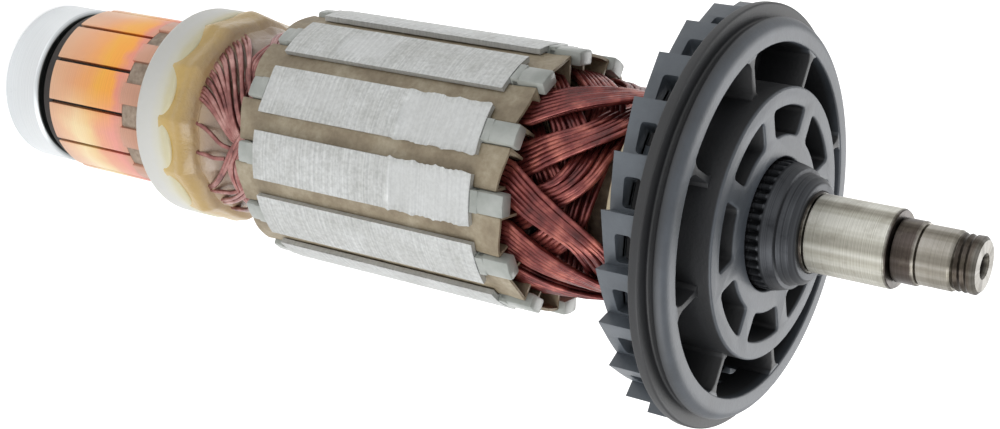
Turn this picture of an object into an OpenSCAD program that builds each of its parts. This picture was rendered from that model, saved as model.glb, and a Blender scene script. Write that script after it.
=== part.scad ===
// Motor armature: a wound, laminated rotor on its shaft, with a commutator and a sealed ball
// bearing at one end, and a cooling fan, a bearing seat and a threaded pinion seat at the other.
// +Z runs along the shaft from the commutator end to the pinion end. The bearing's lower face is
// at z = 0. Tooth number one faces +X, and the slots lie halfway between the teeth.

/* [Shaft] */
// Diameter of the journal inside the commutator-end bearing
journal_d = 10; // [9:0.5:10.5]
// Diameter under the commutator
commutator_seat_d = 12; // [11:0.5:12.5]
// Diameter through the core
core_seat_d = 14; // [13:0.5:14.5]
// Diameter under the fan bush
fan_seat_d = 12.6; // [12.1:0.1:13.4]
// Diameter of the drive-end bearing seat
drive_seat_d = 12; // [10.6:0.1:12]
// Length of the exposed drive-end bearing seat
drive_seat_length = 13.3; // [9:0.1:18]
// Diameter of the neck beyond the drive-end bearing seat
neck_d = 9.6; // [9:0.1:10.4]
// Length of the neck
neck_length = 3.7; // [2:0.1:6]
// Diameter of the pinion seat
pinion_seat_d = 9; // [8:0.1:9.4]
// Length of the pinion seat
pinion_seat_length = 5.3; // [4:0.1:12]
// Outside diameter of the threaded tip
tip_d = 8.6; // [7:0.1:8.6]
// Length of the threaded tip
tip_length = 3.6; // [2:0.1:10]
// Diameter of the centre hole in the tip
centre_hole_d = 3.3; // [2:0.1:4]
// Chamfer on the shaft's ends and seats
shaft_chamfer = 0.4; // [0.2:0.1:0.8]
// How far the shaft's end lies inside the bearing face
end_recess = 0.5; // [0.2:0.1:1.5]

/* [Bearing] */
// Outside diameter of the bearing
bearing_d = 30; // [29:0.5:32]
// Width of the bearing
bearing_width = 9; // [8.5:0.1:11]
// Diameter of each ball
ball_d = 4.76; // [4.2:0.02:4.9]
// Radial play between a ball and its grooves
ball_play = 0.03; // [0.02:0.01:0.08]
// Height of the bearing's ring shoulders above the groove, as the radial gap between ring and ball centre
land_gap = 1.6; // [1.4:0.1:1.8]
// Thickness of the ball cage
cage_wall = 1.2; // [0.8:0.1:1.4]
// Running gap between the seals or the cage and what turns beside them
running_gap = 0.2; // [0.1:0.05:0.3]
// Thickness of each seal
seal_thickness = 1; // [0.7:0.1:1.2]
// How far each seal lies inside the bearing face
seal_recess = 0.4; // [0.2:0.1:0.7]

/* [Commutator] */
// Gap between the bearing and the commutator's moulding
commutator_gap = 1.8; // [1:0.1:4]
// Outside diameter of the brush track
commutator_d = 31.1; // [29:0.1:32]
// Length of the moulded shoulder in front of the bars
commutator_shoulder = 2.4; // [1:0.1:5]
// Length of the brush track
track_length = 19.3; // [14:0.1:26]
// Width of the slots between the bars
bar_gap = 0.6; // [0.5:0.1:1.4]
// Depth of the bars below the brush track
bar_depth = 4.95; // [4:0.05:5.5]
// Depth to which the slots are undercut
undercut = 1.15; // [0.5:0.05:2]
// Wall of the metal bush in the moulding
bush_wall = 1.5; // [1:0.1:2]
// Width of the tang on each bar
tang_width = 4; // [3:0.1:5]
// Length of the tangs
tang_length = 8.5; // [7:0.1:12]
// Thickness of the tangs
tang_thickness = 2.4; // [1.8:0.1:2.8]
// Height of the tangs above the brush track
tang_rise = 0.45; // [0:0.05:1]

/* [Lead bindings] */
// Outside diameter of the pale band over the tangs
band_d = 38.2; // [37:0.1:40]
// Wall of the band
band_wall = 1.9; // [1:0.1:2.2]
// Distance from the brush track to the band
band_offset = 6.8; // [4:0.1:7]
// Width of the band between its lobes
band_width = 6.4; // [4:0.1:9]
// Height of the lobes on the band's far edge
lobe_height = 1.8; // [1:0.1:2.4]
// Length of the resin that shows beyond the band
resin_length = 7.8; // [5:0.1:12]
// Diameter of each lead
lead_d = 1.8; // [1:0.1:2]
// Clearance round a lead where it passes through the resin
lead_clearance = 0.15; // [0.1:0.05:0.3]

/* [Core] */
// Outside diameter of the laminated core
core_d = 44.4; // [43:0.1:46]
// Length of the laminated core
core_length = 44.5; // [30:0.1:60]
// Distance from the resin to the core
core_offset = 16.8; // [16:0.1:22]
// Width of each slot's mouth
slot_mouth = 3.2; // [2:0.1:4]
// Thickness of the tooth tips at the mouth
tooth_tip = 0.9; // [0.6:0.1:1.4]
// Width of the tooth necks
tooth_width = 3.7; // [3.4:0.1:3.9]
// Radius of the slot bottoms
slot_bottom_r = 11.5; // [11:0.1:11.8]
// Depth of the two milled balance cuts
balance_depth = 0.5; // [0.2:0.1:0.8]
// Length of the two milled balance cuts
balance_length = 16.4; // [8:0.1:25]

/* [Insulation] */
// Thickness of the slot liners
liner_wall = 0.4; // [0.2:0.05:0.5]
// Clearance between a liner and its slot
liner_clearance = 0.1; // [0.05:0.05:0.2]
// How far the liners stand out at the commutator end
liner_lower = 4.3; // [3.8:0.1:5.5]
// How far the liners stand out at the drive end
liner_upper = 4.8; // [3:0.1:5.5]
// Thickness of the end insulators
insulator_wall = 1.5; // [1:0.1:2.5]
// Height of the insulator tabs at the commutator end
tab_lower = 3.5; // [2:0.1:3.8]
// Height of the insulator tabs at the drive end
tab_upper = 6.2; // [4:0.1:7]
// Radial thickness of the insulator tabs
tab_wall = 2.6; // [1.5:0.1:2.7]
// Wall of the sleeve on the shaft
sleeve_wall = 1.6; // [1:0.1:2.5]
// Diameter of the end washer
washer_d = 37; // [34:0.5:40]
// Thickness of the end washer
washer_thickness = 2; // [1:0.1:3]

/* [Winding] */
// Length of the winding beyond the core at the drive end
overhang = 22.2; // [22:0.1:26]
// Axial climb of the end turns at the drive end
climb_upper = 12.4; // [12:0.1:12.8]
// Axial climb of the end turns at the commutator end
climb_lower = 9.5; // [9:0.1:9.8]

/* [Fan] */
// Diameter over the fan's flange
fan_d = 66.2; // [64:0.1:72]
// Thickness of the flange
flange_thickness = 1.6; // [1:0.1:2.4]
// Distance from the end washer to the flange
fan_offset = 10.7; // [10:0.1:16]
// Diameter of the front ring
front_ring_d = 62.6; // [60:0.1:63]
// Diameter of the groove between the flange and the front ring
fan_groove_d = 61; // [58:0.1:61.5]
// Height of the groove
fan_groove_height = 1.2; // [0.8:0.1:2]
// Height of the front ring
front_ring_height = 1.9; // [1.4:0.1:3]
// Diameter of the recess in the front
recess_d = 55; // [52:0.1:56]
// Depth of the recess below the front ring
recess_depth = 8.2; // [7.2:0.1:8.4]
// Thickness of the web that closes the recess
web_thickness = 1.4; // [1:0.1:1.8]
// Height of the vanes behind the flange
vane_height = 5.5; // [4.9:0.1:7]
// Distance of the vane tips inside the flange
vane_inset = 0.45; // [0.2:0.05:1]
// Depth of the scoop from one vane's tip to the foot of the next
scoop_depth = 2.65; // [1.5:0.05:3.2]
// Length of the port in each scoop, along the shaft
port_length = 2.7; // [1.5:0.1:3]
// Width of the port in each scoop
port_width = 4.4; // [3:0.1:4.6]
// Distance from the ports to the flange
port_offset = 0.8; // [0.4:0.1:1.2]
// Diameter of the hub's rim
hub_d = 42.2; // [40:0.1:44]
// How far the hub stands in front of the ring
hub_rise = 2; // [0:0.1:3]
// Width of the thin ribs across the recess
rib_width = 1; // [0.6:0.1:2]
// Inner radius of the hub's pockets
pocket_inner_r = 13.6; // [12:0.1:14.5]
// Outer radius of the hub's pockets
pocket_outer_r = 18.4; // [17:0.1:18.4]
// Corner radius of the hub's pockets
pocket_corner_r = 0.8; // [0.4:0.1:1]
// Width of the ribs between the hub's pockets
pocket_rib = 2.6; // [1.6:0.1:3.6]
// Radius over the bush's knurl
knurl_r = 10; // [9.8:0.1:10.5]
// Depth of the knurl
knurl_depth = 0.5; // [0.3:0.1:0.7]
// Front diameter of the fan bush
bush_front_d = 14.8; // [14.2:0.1:15.4]
// Diameter at the step of the fan bush
bush_step_d = 16; // [15.6:0.1:17]
// Length of the fan bush from its step to its front
bush_front_length = 3; // [2:0.1:5]
// Length of the taper from the hub to the step
bush_taper_length = 3.6; // [2:0.1:5]

/* [Hidden] */
$fn = 64;
slots = 12;
pitch = 360 / slots;
vanes = 24;
vane_pitch = 360 / vanes;
balls = 8;
hub_pockets = 8;
pocket_pitch = 360 / hub_pockets;
knurl_teeth = 38;
// Gap from the washer to the fan bush
bush_gap = 2;
// How far the bush's plain ends stand in from its knurl, and its edges' chamfer
bush_relief = 0.1;
bush_chamfer = 0.5;
// How far the resin reaches in under the band's lobes
band_seam = 0.4;
resin_chamfer = 0.6;
// Side angle of the first lobe of the band
lobe_angle = 9;
// A cut passes through a face by this much
cut = 1;

// Heights along the shaft
z_bearing_top = bearing_width;
z_moulding = z_bearing_top + commutator_gap;
z_track = z_moulding + commutator_shoulder;
z_track_end = z_track + track_length;
z_tang_end = z_track_end + tang_length;
z_band = z_track_end + band_offset;
z_band_end = z_band + band_width;
z_resin_end = z_band_end + resin_length;
z_core = z_resin_end + core_offset;
z_core_end = z_core + core_length;
z_liner = z_core - liner_lower;
z_liner_end = z_core_end + liner_upper;
z_washer = z_core_end + overhang;
z_washer_end = z_washer + washer_thickness;
z_bush = z_washer_end + bush_gap;
z_flange = z_washer_end + fan_offset;
z_flange_end = z_flange + flange_thickness;
z_front_ring = z_flange_end + fan_groove_height;
z_front_face = z_front_ring + front_ring_height;
z_hub_face = z_front_face + hub_rise;
z_web_top = z_front_face - recess_depth;
z_web = z_web_top - web_thickness;
z_bush_step = z_hub_face + bush_taper_length;
z_bush_end = z_bush_step + bush_front_length;
z_neck = z_bush_end + drive_seat_length;
z_pinion_seat = z_neck + neck_length;
z_tip = z_pinion_seat + pinion_seat_length;
z_end = z_tip + tip_length;

// Radii
journal_r = journal_d / 2;
commutator_seat_r = commutator_seat_d / 2;
core_seat_r = core_seat_d / 2;
fan_seat_r = fan_seat_d / 2;
drive_seat_r = drive_seat_d / 2;
bearing_r = bearing_d / 2;
ball_r = ball_d / 2;
ball_pitch_r = (journal_r + bearing_r) / 2;
cage_half_height = ball_r + 0.5;
seal_seat = 2.2;
groove_slack = 0.12;
track_r = commutator_d / 2;
bar_bottom_r = track_r - bar_depth;
bush_r = commutator_seat_r + bush_wall;
tang_top_r = track_r + tang_rise;
tang_bottom_r = tang_top_r - tang_thickness;
band_r = band_d / 2;
band_bore_r = band_r - band_wall;
core_r = core_d / 2;
slot_top_r = core_r - tooth_tip;
liner_top_r = slot_top_r - liner_clearance;
sleeve_r = core_seat_r + sleeve_wall;
flange_r = fan_d / 2;
vane_tip_r = flange_r - vane_inset;
vane_foot_r = vane_tip_r - scoop_depth;
recess_r = recess_d / 2;
hub_r = hub_d / 2;

// A coil lies in the outer half of its first slot and in the inner half of the slot
// coil_span further on. Each place on its route is [radius, angle, height, radial half
// thickness, half width].
coil_span = 5 * pitch;
coil_clearance = 0.2;
// How far the moulding's shoulder stands over the slots' floor, and the packing's drop
// below the track
shoulder_rise = 0.2;
packing_relief = 0.1;
// How far inside the liners' ends a leg has its full section
leg_inset = 1;
outer_leg_half = 1.9;
outer_leg_r = liner_top_r - liner_wall - coil_clearance - outer_leg_half;
outer_leg_width = 2.1;
inner_leg_half = 2.05;
inner_leg_r = outer_leg_r - outer_leg_half - coil_clearance - inner_leg_half;
inner_leg_width = 0.95;
end_turn_half = 1.8;
end_turn_width = 1.65;
end_turn_outer_r = outer_leg_r;
end_turn_inner_r = inner_leg_r;
lower_turn_half = 1.5;
lower_turn_width = 1.25;
lower_turn_outer_r = 13.5;
lower_turn_inner_r = 9.9;
z_turn_upper = z_liner_end + 2;
z_turn_lower = z_liner - 1.2;
lead_r = lead_d / 2;
lead_start_r = (tang_top_r + tang_bottom_r) / 2;
lead_resin_r = 17.2;
lead_core_r = 16.8;

// Side angle of the first vane, and of the first port from the vane before it
vane_first_angle = 4.6;
port_angle = 9.6;
pocket_first_angle = -4;

function two_digits(n) = n < 10 ? str("0", n) : str(n);
function numbered(name) = [for (i = [1:slots]) str(name, "_", two_digits(i))];

// A ring between two radii, standing from z to z_top
module ring(inner_r, outer_r, z, z_top) {
    translate([0, 0, z])
        difference() {
            cylinder(r = outer_r, h = z_top - z);
            translate([0, 0, -cut])
                cylinder(r = inner_r, h = z_top - z + 2 * cut);
        }
}

// One copy of the child at each slot, or at each tooth when offset by half a pitch
module at_slots() {
    for (i = [0:slots - 1])
        rotate(pitch * (i + 0.5))
            children();
}

module at_teeth() {
    for (i = [0:slots - 1])
        rotate(pitch * i)
            children();
}

// A block along +X, centred on the XZ plane
module radial_block(inner_r, outer_r, width, z, z_top) {
    translate([inner_r, -width / 2, z])
        cube([outer_r - inner_r, width, z_top - z]);
}

// A wedge along +X whose sides lie parallel to its neighbours', half a gap inside each
module wedge_outline(gap, inner_r, outer_r) {
    apex = gap / 2 / sin(pitch / 2);
    reach = 2 * outer_r;
    intersection() {
        difference() {
            circle(r = outer_r);
            circle(r = inner_r);
        }
        polygon([
            [apex, 0],
            [apex + reach, -reach * tan(pitch / 2)],
            [apex + reach, reach * tan(pitch / 2)]]);
    }
}

module shaft() {
    color("lightsteelblue")
        rotate_extrude()
            difference() {
                polygon([
                    [0, end_recess],
                    [journal_r - shaft_chamfer, end_recess],
                    [journal_r, end_recess + shaft_chamfer],
                    [journal_r, z_bearing_top],
                    [commutator_seat_r, z_bearing_top],
                    [commutator_seat_r, z_tang_end],
                    [core_seat_r, z_tang_end],
                    [core_seat_r, z_bush],
                    [fan_seat_r, z_bush],
                    [fan_seat_r, z_bush_end],
                    [drive_seat_r, z_bush_end],
                    [drive_seat_r, z_neck - shaft_chamfer],
                    [drive_seat_r - shaft_chamfer, z_neck],
                    [neck_d / 2, z_neck],
                    [neck_d / 2, z_pinion_seat],
                    [pinion_seat_d / 2, z_pinion_seat],
                    [pinion_seat_d / 2, z_tip],
                    [tip_d / 2, z_tip],
                    [tip_d / 2, z_end - shaft_chamfer],
                    [tip_d / 2 - shaft_chamfer, z_end],
                    [0, z_end]]);
                centre_hole_outline();
            }
}

// Half of the centre hole: a short bore with a conical bottom
module centre_hole_outline() {
    hole_depth = 3;
    polygon([
        [-cut, z_end + cut],
        [centre_hole_d / 2, z_end + cut],
        [centre_hole_d / 2, z_end - hole_depth],
        [0, z_end - hole_depth - centre_hole_d / 2],
        [-cut, z_end - hole_depth - centre_hole_d / 2]]);
}

module laminated_core() {
    color("silver")
        difference() {
            ring(core_seat_r, core_r, z_core, z_core_end);
            at_slots() {
                translate([0, 0, z_core - cut])
                    linear_extrude(core_length + 2 * cut)
                        wedge_outline(tooth_width, slot_bottom_r, slot_top_r);
                radial_block(slot_top_r - tooth_tip, core_r + cut, slot_mouth,
                    z_core - cut, z_core_end + cut);
            }
            for (tooth = [8, 9])
                rotate(pitch * tooth)
                    radial_block(core_r - balance_depth, core_r + cut, core_r,
                        z_core_end - balance_length, z_core_end + cut);
        }
}

// A moulded disc with an arm on each tooth. The tabs on the arms' ends reach z_tab.
module end_insulator(z, z_top, z_tab) {
    color("darkseagreen") {
        ring(core_seat_r, slot_bottom_r - liner_clearance, z, z_top);
        at_teeth() {
            radial_block(core_seat_r + 1, core_r - liner_clearance, tooth_width, z, z_top);
            radial_block(core_r - liner_clearance - tab_wall, core_r - liner_clearance,
                tooth_width, min(z, z_tab), max(z_top, z_tab));
        }
    }
}

module end_insulator_commutator() {
    end_insulator(z_core - insulator_wall, z_core, z_core - tab_lower);
}

module end_insulator_drive() {
    end_insulator(z_core_end, z_core_end + insulator_wall, z_core_end + tab_upper);
}

module slot_liner(i) {
    outer_gap = tooth_width + 2 * liner_clearance;
    color("darkkhaki")
        rotate(pitch * (i - 0.5))
            translate([0, 0, z_liner])
                linear_extrude(z_liner_end - z_liner)
                    difference() {
                        wedge_outline(outer_gap, slot_bottom_r + liner_clearance, liner_top_r);
                        wedge_outline(outer_gap + 2 * liner_wall,
                            slot_bottom_r + liner_clearance + liner_wall, liner_top_r - liner_wall);
                    }
}

// Route of a coil's closed loop
turn_steps = [0.1, 0.2, 0.3, 0.4, 0.45, 0.5, 0.55, 0.6, 0.7, 0.8, 0.9];
function tent(u) = min(1 - abs(2 * u - 1), 0.95);
function ease(u) = u * u * (3 - 2 * u);
function mix(a, b, u) = a + (b - a) * u;
function crossing(u) = ease(max(0, min(1, (u - 0.38) / 0.24)));
function upper_turn(u) = [
    mix(end_turn_outer_r, end_turn_inner_r, crossing(u)), coil_span * u,
    z_turn_upper + climb_upper * tent(u), end_turn_half, end_turn_width];
function lower_turn(u) = [
    mix(lower_turn_outer_r, lower_turn_inner_r, crossing(u)), coil_span * u,
    z_turn_lower - climb_lower * tent(u), lower_turn_half, lower_turn_width];
coil_route = concat(
    [
        [outer_leg_r, 0, z_liner + leg_inset, outer_leg_half, outer_leg_width],
        [outer_leg_r, 0, z_liner_end - leg_inset / 2, outer_leg_half, outer_leg_width],
        [outer_leg_r, 0, z_turn_upper, end_turn_half, end_turn_width]],
    [for (u = turn_steps) upper_turn(u)],
    [
        [inner_leg_r, coil_span, z_turn_upper, end_turn_half, inner_leg_width],
        [inner_leg_r, coil_span, z_liner_end - leg_inset / 2, inner_leg_half, inner_leg_width],
        [inner_leg_r, coil_span, z_liner + leg_inset, inner_leg_half, inner_leg_width],
        [mix(inner_leg_r, lower_turn_inner_r, 0.5), coil_span, z_turn_lower,
            lower_turn_half, inner_leg_width]],
    [for (j = [len(turn_steps) - 1:-1:0]) lower_turn(turn_steps[j])],
    [
        [mix(outer_leg_r, lower_turn_outer_r, 0.5), 0, z_turn_lower,
            lower_turn_half, lower_turn_width]]);

// A tube of eight sides along a route of [radius, angle, height, half thickness, half width]
function place(p) = [p[0] * cos(p[1]), p[0] * sin(p[1]), p[2]];
function unit(v) = v / norm(v);
function section(p, along) =
    let (outward = [cos(p[1]), sin(p[1]), 0],
         across = unit(cross(along, outward)),
         lift = unit(cross(across, along)))
    [for (k = [0:7]) place(p) + p[3] * cos(45 * k + 22.5) * lift + p[4] * sin(45 * k + 22.5) * across];
function side_faces(rings, closed) = [
    for (j = [0:rings - (closed ? 1 : 2)])
        let (a = 8 * j, b = 8 * ((j + 1) % rings))
        for (k = [0:7])
            let (n = (k + 1) % 8)
            each [[a + k, b + k, b + n], [a + k, b + n, a + n]]];

module closed_tube(route) {
    n = len(route);
    points = [
        for (j = [0:n - 1])
            each section(route[j], unit(place(route[(j + 1) % n]) - place(route[(j + n - 1) % n])))];
    polyhedron(points, side_faces(n, true));
}

module open_tube(route) {
    n = len(route);
    points = [
        for (j = [0:n - 1])
            each section(route[j], j == 0 || j == n - 1
                ? [0, 0, 1]
                : unit(place(route[j + 1]) - place(route[j - 1])))];
    polyhedron(points, concat(side_faces(n, false),
        [[for (k = [0:7]) k], [for (k = [7:-1:0]) 8 * (n - 1) + k]]));
}

// The pair of wire ends from a tang to the coil's first leg
lead_route = [
    [lead_start_r, 0, z_tang_end, lead_r, lead_r],
    [lead_resin_r, 0, z_resin_end, lead_r, lead_r],
    [lead_core_r, 0, z_liner - 3.5, lead_r, lead_r],
    [mix(lead_core_r, outer_leg_r, 0.7), 0, z_liner, lead_r, lead_r],
    [outer_leg_r, 0, z_liner + 2, lead_r, lead_r]];

module coil(i) {
    color("sienna")
        rotate(pitch * (i - 0.5)) {
            closed_tube(coil_route);
            open_tube(lead_route);
        }
}

module commutator_bar(i) {
    color("peru")
        rotate(pitch * (i - 0.5)) {
            translate([0, 0, z_track])
                linear_extrude(track_length)
                    wedge_outline(bar_gap, bar_bottom_r, track_r);
            radial_block(tang_bottom_r, tang_top_r, tang_width, z_track_end, z_tang_end);
        }
}

module commutator_body() {
    color("dimgray") {
        ring(bush_r, bar_bottom_r, z_moulding, z_tang_end);
        ring(bush_r, track_r - undercut + shoulder_rise, z_moulding, z_track);
        at_teeth()
            intersection() {
                radial_block(bush_r + 1, track_r, bar_gap, z_track - cut, z_track_end);
                cylinder(r = track_r - undercut, h = z_track_end);
            }
    }
}

module commutator_bush() {
    color("goldenrod")
        ring(commutator_seat_r, bush_r, z_moulding, z_tang_end);
}

module tang_packing() {
    color("tan")
        difference() {
            union() {
                ring(bar_bottom_r, track_r - packing_relief, z_track_end, z_tang_end);
                ring(bar_bottom_r, band_bore_r, z_band, z_tang_end);
            }
            at_slots()
                radial_block(tang_bottom_r, tang_top_r, tang_width,
                    z_track_end - cut, z_tang_end + cut);
        }
}

// The lobes are radial discs of twelve sides. They meet in cusps one pitch apart.
module lobes() {
    half_pitch = band_r * sin(pitch / 2);
    lobe_r = (pow(half_pitch, 2) + pow(lobe_height, 2)) / (2 * lobe_height);
    for (i = [0:slots - 1])
        rotate(lobe_angle + pitch * i)
            translate([0, 0, z_band_end + lobe_height - lobe_r])
                rotate([0, 90, 0])
                    cylinder(r = lobe_r, h = band_r + cut, $fn = 12);
}

module lead_channels() {
    run = z_resin_end - z_tang_end;
    slope = atan((lead_resin_r - lead_start_r) / run);
    at_slots()
        translate([lead_start_r, 0, z_tang_end])
            rotate([0, slope, 0])
                translate([0, 0, -3])
                    cylinder(r = lead_r + lead_clearance, h = run + 8);
}

module lead_band() {
    color("whitesmoke")
        difference() {
            union() {
                ring(band_bore_r, band_r, z_band, z_band_end - band_seam);
                intersection() {
                    ring(band_bore_r, band_r, z_band_end - band_seam, z_band_end + lobe_height + cut);
                    lobes();
                }
            }
            lead_channels();
        }
}

module lead_resin() {
    color("darkgoldenrod")
        difference() {
            rotate_extrude()
                polygon([
                    [core_seat_r, z_tang_end],
                    [band_bore_r, z_tang_end],
                    [band_bore_r, z_band_end - band_seam],
                    [band_r, z_band_end - band_seam],
                    [band_r, z_resin_end - resin_chamfer],
                    [band_r - resin_chamfer, z_resin_end],
                    [core_seat_r, z_resin_end]]);
            intersection() {
                ring(band_bore_r, band_r + cut, z_band_end - cut, z_band_end + lobe_height + cut);
                lobes();
            }
            lead_channels();
        }
}

module shaft_sleeve() {
    color("tan")
        ring(core_seat_r, sleeve_r, z_core_end + insulator_wall, z_washer);
}

module end_washer() {
    color("wheat")
        ring(core_seat_r, washer_d / 2, z_washer, z_washer_end);
}

// The knurl: straight teeth whose tips lie at knurl_r
module knurl_outline() {
    polygon([
        for (i = [0:2 * knurl_teeth - 1])
            let (r = i % 2 == 0 ? knurl_r : knurl_r - knurl_depth)
            r * [cos(180 / knurl_teeth * i), sin(180 / knurl_teeth * i)]]);
}

module fan_bush() {
    root_r = knurl_r - knurl_depth - bush_relief;
    color("dimgray")
        difference() {
            union() {
                rotate_extrude()
                    polygon([
                        [0, z_bush],
                        [root_r, z_bush],
                        [root_r, z_hub_face - bush_chamfer],
                        [bush_step_d / 2 + bush_chamfer, z_bush_step - bush_chamfer],
                        [bush_step_d / 2, z_bush_step],
                        [bush_front_d / 2, z_bush_step],
                        [bush_front_d / 2, z_bush_end],
                        [0, z_bush_end]]);
                translate([0, 0, z_web])
                    linear_extrude(z_hub_face - 2 * bush_chamfer - z_web)
                        knurl_outline();
            }
            translate([0, 0, z_bush - cut])
                cylinder(r = fan_seat_r, h = z_bush_end - z_bush + 2 * cut);
        }
}

// From each tip a scoop falls to the foot of the next vane, whose face is radial
module vane_outline() {
    polygon([
        for (i = [0:vanes - 1])
            let (a = vane_first_angle + vane_pitch * i, b = a + vane_pitch)
            each [vane_tip_r * [cos(a), sin(a)], vane_foot_r * [cos(b), sin(b)]]]);
}

module pocket_outline() {
    half = pocket_pitch / 2;
    offset(r = pocket_corner_r, $fn = 16)
        offset(delta = -pocket_corner_r, $fn = 48)
            intersection() {
                difference() {
                    circle(r = pocket_outer_r);
                    circle(r = pocket_inner_r);
                }
                polygon([
                    [pocket_rib / 2 / sin(half), 0],
                    [2 * hub_r, -(2 * hub_r - pocket_rib / 2 / sin(half)) * tan(half)],
                    [2 * hub_r, (2 * hub_r - pocket_rib / 2 / sin(half)) * tan(half)]]);
            }
}

module fan_body() {
    lip = 1.5;
    lap = web_thickness / 2;
    rotate_extrude()
        polygon([
            [recess_r, z_flange],
            [flange_r, z_flange],
            [flange_r, z_flange_end],
            [fan_groove_d / 2, z_flange_end],
            [fan_groove_d / 2, z_front_ring],
            [front_ring_d / 2, z_front_ring],
            [front_ring_d / 2 - 0.7, z_front_ring + lip],
            [front_ring_d / 2 - 1.1, z_front_face],
            [recess_r, z_front_face]]);
    translate([0, 0, z_flange - vane_height])
        difference() {
            linear_extrude(vane_height + flange_thickness / 2)
                vane_outline();
            translate([0, 0, -cut])
                cylinder(r = recess_r, h = vane_height + flange_thickness / 2 + 2 * cut);
        }
    ring(knurl_r - knurl_depth - cut, recess_r + lap, z_web, z_web_top);
    ring(knurl_r - knurl_depth - cut, hub_r, z_web, z_hub_face);
}

module fan_wheel() {
    rib_end = 0.3;
    color("darkslategray")
        difference() {
            union() {
                difference() {
                    fan_body();
                    for (i = [0:vanes - 1])
                        rotate(vane_first_angle + vane_pitch * i + port_angle)
                            radial_block(recess_r - 1, flange_r + cut, port_width,
                                z_flange - port_offset - port_length, z_flange - port_offset);
                }
                for (i = [0:hub_pockets - 1])
                    rotate(pocket_first_angle + pocket_pitch * (i + 0.5))
                        radial_block(hub_r - 1, recess_r + rib_end, rib_width,
                            z_web + web_thickness / 2, z_front_face - rib_end);
            }
            translate([0, 0, z_web - cut])
                linear_extrude(z_hub_face - z_web + 2 * cut)
                    knurl_outline();
            for (i = [0:hub_pockets - 1])
                rotate(pocket_first_angle + pocket_pitch * i)
                    translate([0, 0, z_web_top])
                        linear_extrude(z_hub_face - z_web_top + cut)
                            pocket_outline();
        }
}

// The grooves are arcs that clear the balls by ball_play
module ball_groove(shift) {
    rotate_extrude()
        translate([ball_pitch_r + shift, bearing_width / 2])
            circle(r = ball_r + groove_slack);
}

module bearing_outer_ring() {
    chamfer = 0.6;
    land_r = ball_pitch_r + land_gap;
    color("gainsboro")
        difference() {
            rotate_extrude()
                polygon([
                    [land_r, 0],
                    [bearing_r - chamfer, 0],
                    [bearing_r, chamfer],
                    [bearing_r, bearing_width - chamfer],
                    [bearing_r - chamfer, bearing_width],
                    [land_r, bearing_width]]);
            ball_groove(ball_play - groove_slack);
            for (z = [-cut, bearing_width - seal_recess - seal_thickness])
                translate([0, 0, z])
                    cylinder(r = land_r + seal_seat, h = cut + seal_recess + seal_thickness);
        }
}

module bearing_inner_ring() {
    chamfer = 0.4;
    land_r = ball_pitch_r - land_gap;
    color("silver")
        difference() {
            rotate_extrude()
                polygon([
                    [journal_r, 0],
                    [land_r - chamfer, 0],
                    [land_r, chamfer],
                    [land_r, bearing_width - chamfer],
                    [land_r - chamfer, bearing_width],
                    [journal_r, bearing_width]]);
            ball_groove(groove_slack - ball_play);
        }
}

module at_balls() {
    for (i = [0:balls - 1])
        rotate(360 / balls * i)
            translate([ball_pitch_r, 0, bearing_width / 2])
                children();
}

module bearing_balls() {
    color("white")
        at_balls()
            sphere(r = ball_r);
}

module bearing_cage() {
    color("darkgray")
        difference() {
            ring(ball_pitch_r - cage_wall / 2, ball_pitch_r + cage_wall / 2,
                bearing_width / 2 - cage_half_height, bearing_width / 2 + cage_half_height);
            at_balls()
                sphere(r = ball_r + running_gap / 2);
        }
}

module bearing_seal(z) {
    color("black")
        ring(ball_pitch_r - land_gap + running_gap, ball_pitch_r + land_gap + seal_seat,
            z, z + seal_thickness);
}

module bearing_seal_lower() {
    bearing_seal(seal_recess);
}

module bearing_seal_upper() {
    bearing_seal(bearing_width - seal_recess - seal_thickness);
}

shaft();
laminated_core();
end_insulator_commutator();
end_insulator_drive();
for (i = [1:slots]) {
    slot_liner(i);
    coil(i);
    commutator_bar(i);
}
commutator_body();
commutator_bush();
tang_packing();
lead_band();
lead_resin();
shaft_sleeve();
end_washer();
fan_bush();
fan_wheel();
bearing_outer_ring();
bearing_inner_ring();
bearing_balls();
bearing_cage();
bearing_seal_lower();
bearing_seal_upper();
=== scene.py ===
import math
import random

import bpy
from mathutils import Matrix, Vector


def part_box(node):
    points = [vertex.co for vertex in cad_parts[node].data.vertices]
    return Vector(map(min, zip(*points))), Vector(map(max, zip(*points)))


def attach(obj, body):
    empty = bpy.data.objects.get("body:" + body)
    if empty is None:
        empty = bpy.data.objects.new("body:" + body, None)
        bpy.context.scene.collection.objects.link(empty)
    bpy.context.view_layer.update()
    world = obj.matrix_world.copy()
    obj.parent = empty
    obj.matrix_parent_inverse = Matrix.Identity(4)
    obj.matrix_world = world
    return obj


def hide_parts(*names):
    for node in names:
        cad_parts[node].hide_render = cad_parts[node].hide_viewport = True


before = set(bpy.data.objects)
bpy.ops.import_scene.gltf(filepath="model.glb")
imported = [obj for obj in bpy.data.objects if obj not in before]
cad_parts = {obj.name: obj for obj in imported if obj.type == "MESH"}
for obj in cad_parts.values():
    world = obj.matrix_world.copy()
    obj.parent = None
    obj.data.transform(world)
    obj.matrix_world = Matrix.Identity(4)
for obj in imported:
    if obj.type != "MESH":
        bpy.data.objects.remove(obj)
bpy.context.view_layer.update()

mm = 0.001
slotCount = 12
pitch = math.tau / slotCount
dice = random.Random(7)
print("frame loaded")


# small tools

def heights(node):  # lowest and highest place of a node along the shaft
    low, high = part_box(node)
    return low.z, high.z


def reach(node):  # outside radius of a round node
    low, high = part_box(node)
    return (high.x - low.x) / 2


def polar(radius, angle, z=0.0):
    return Vector((radius * math.cos(angle), radius * math.sin(angle), z))


def mix(a, b, share):
    return a + (b - a) * share


def ease(share):
    share = min(1.0, max(0.0, share))
    return share * share * (3 - 2 * share)


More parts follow.
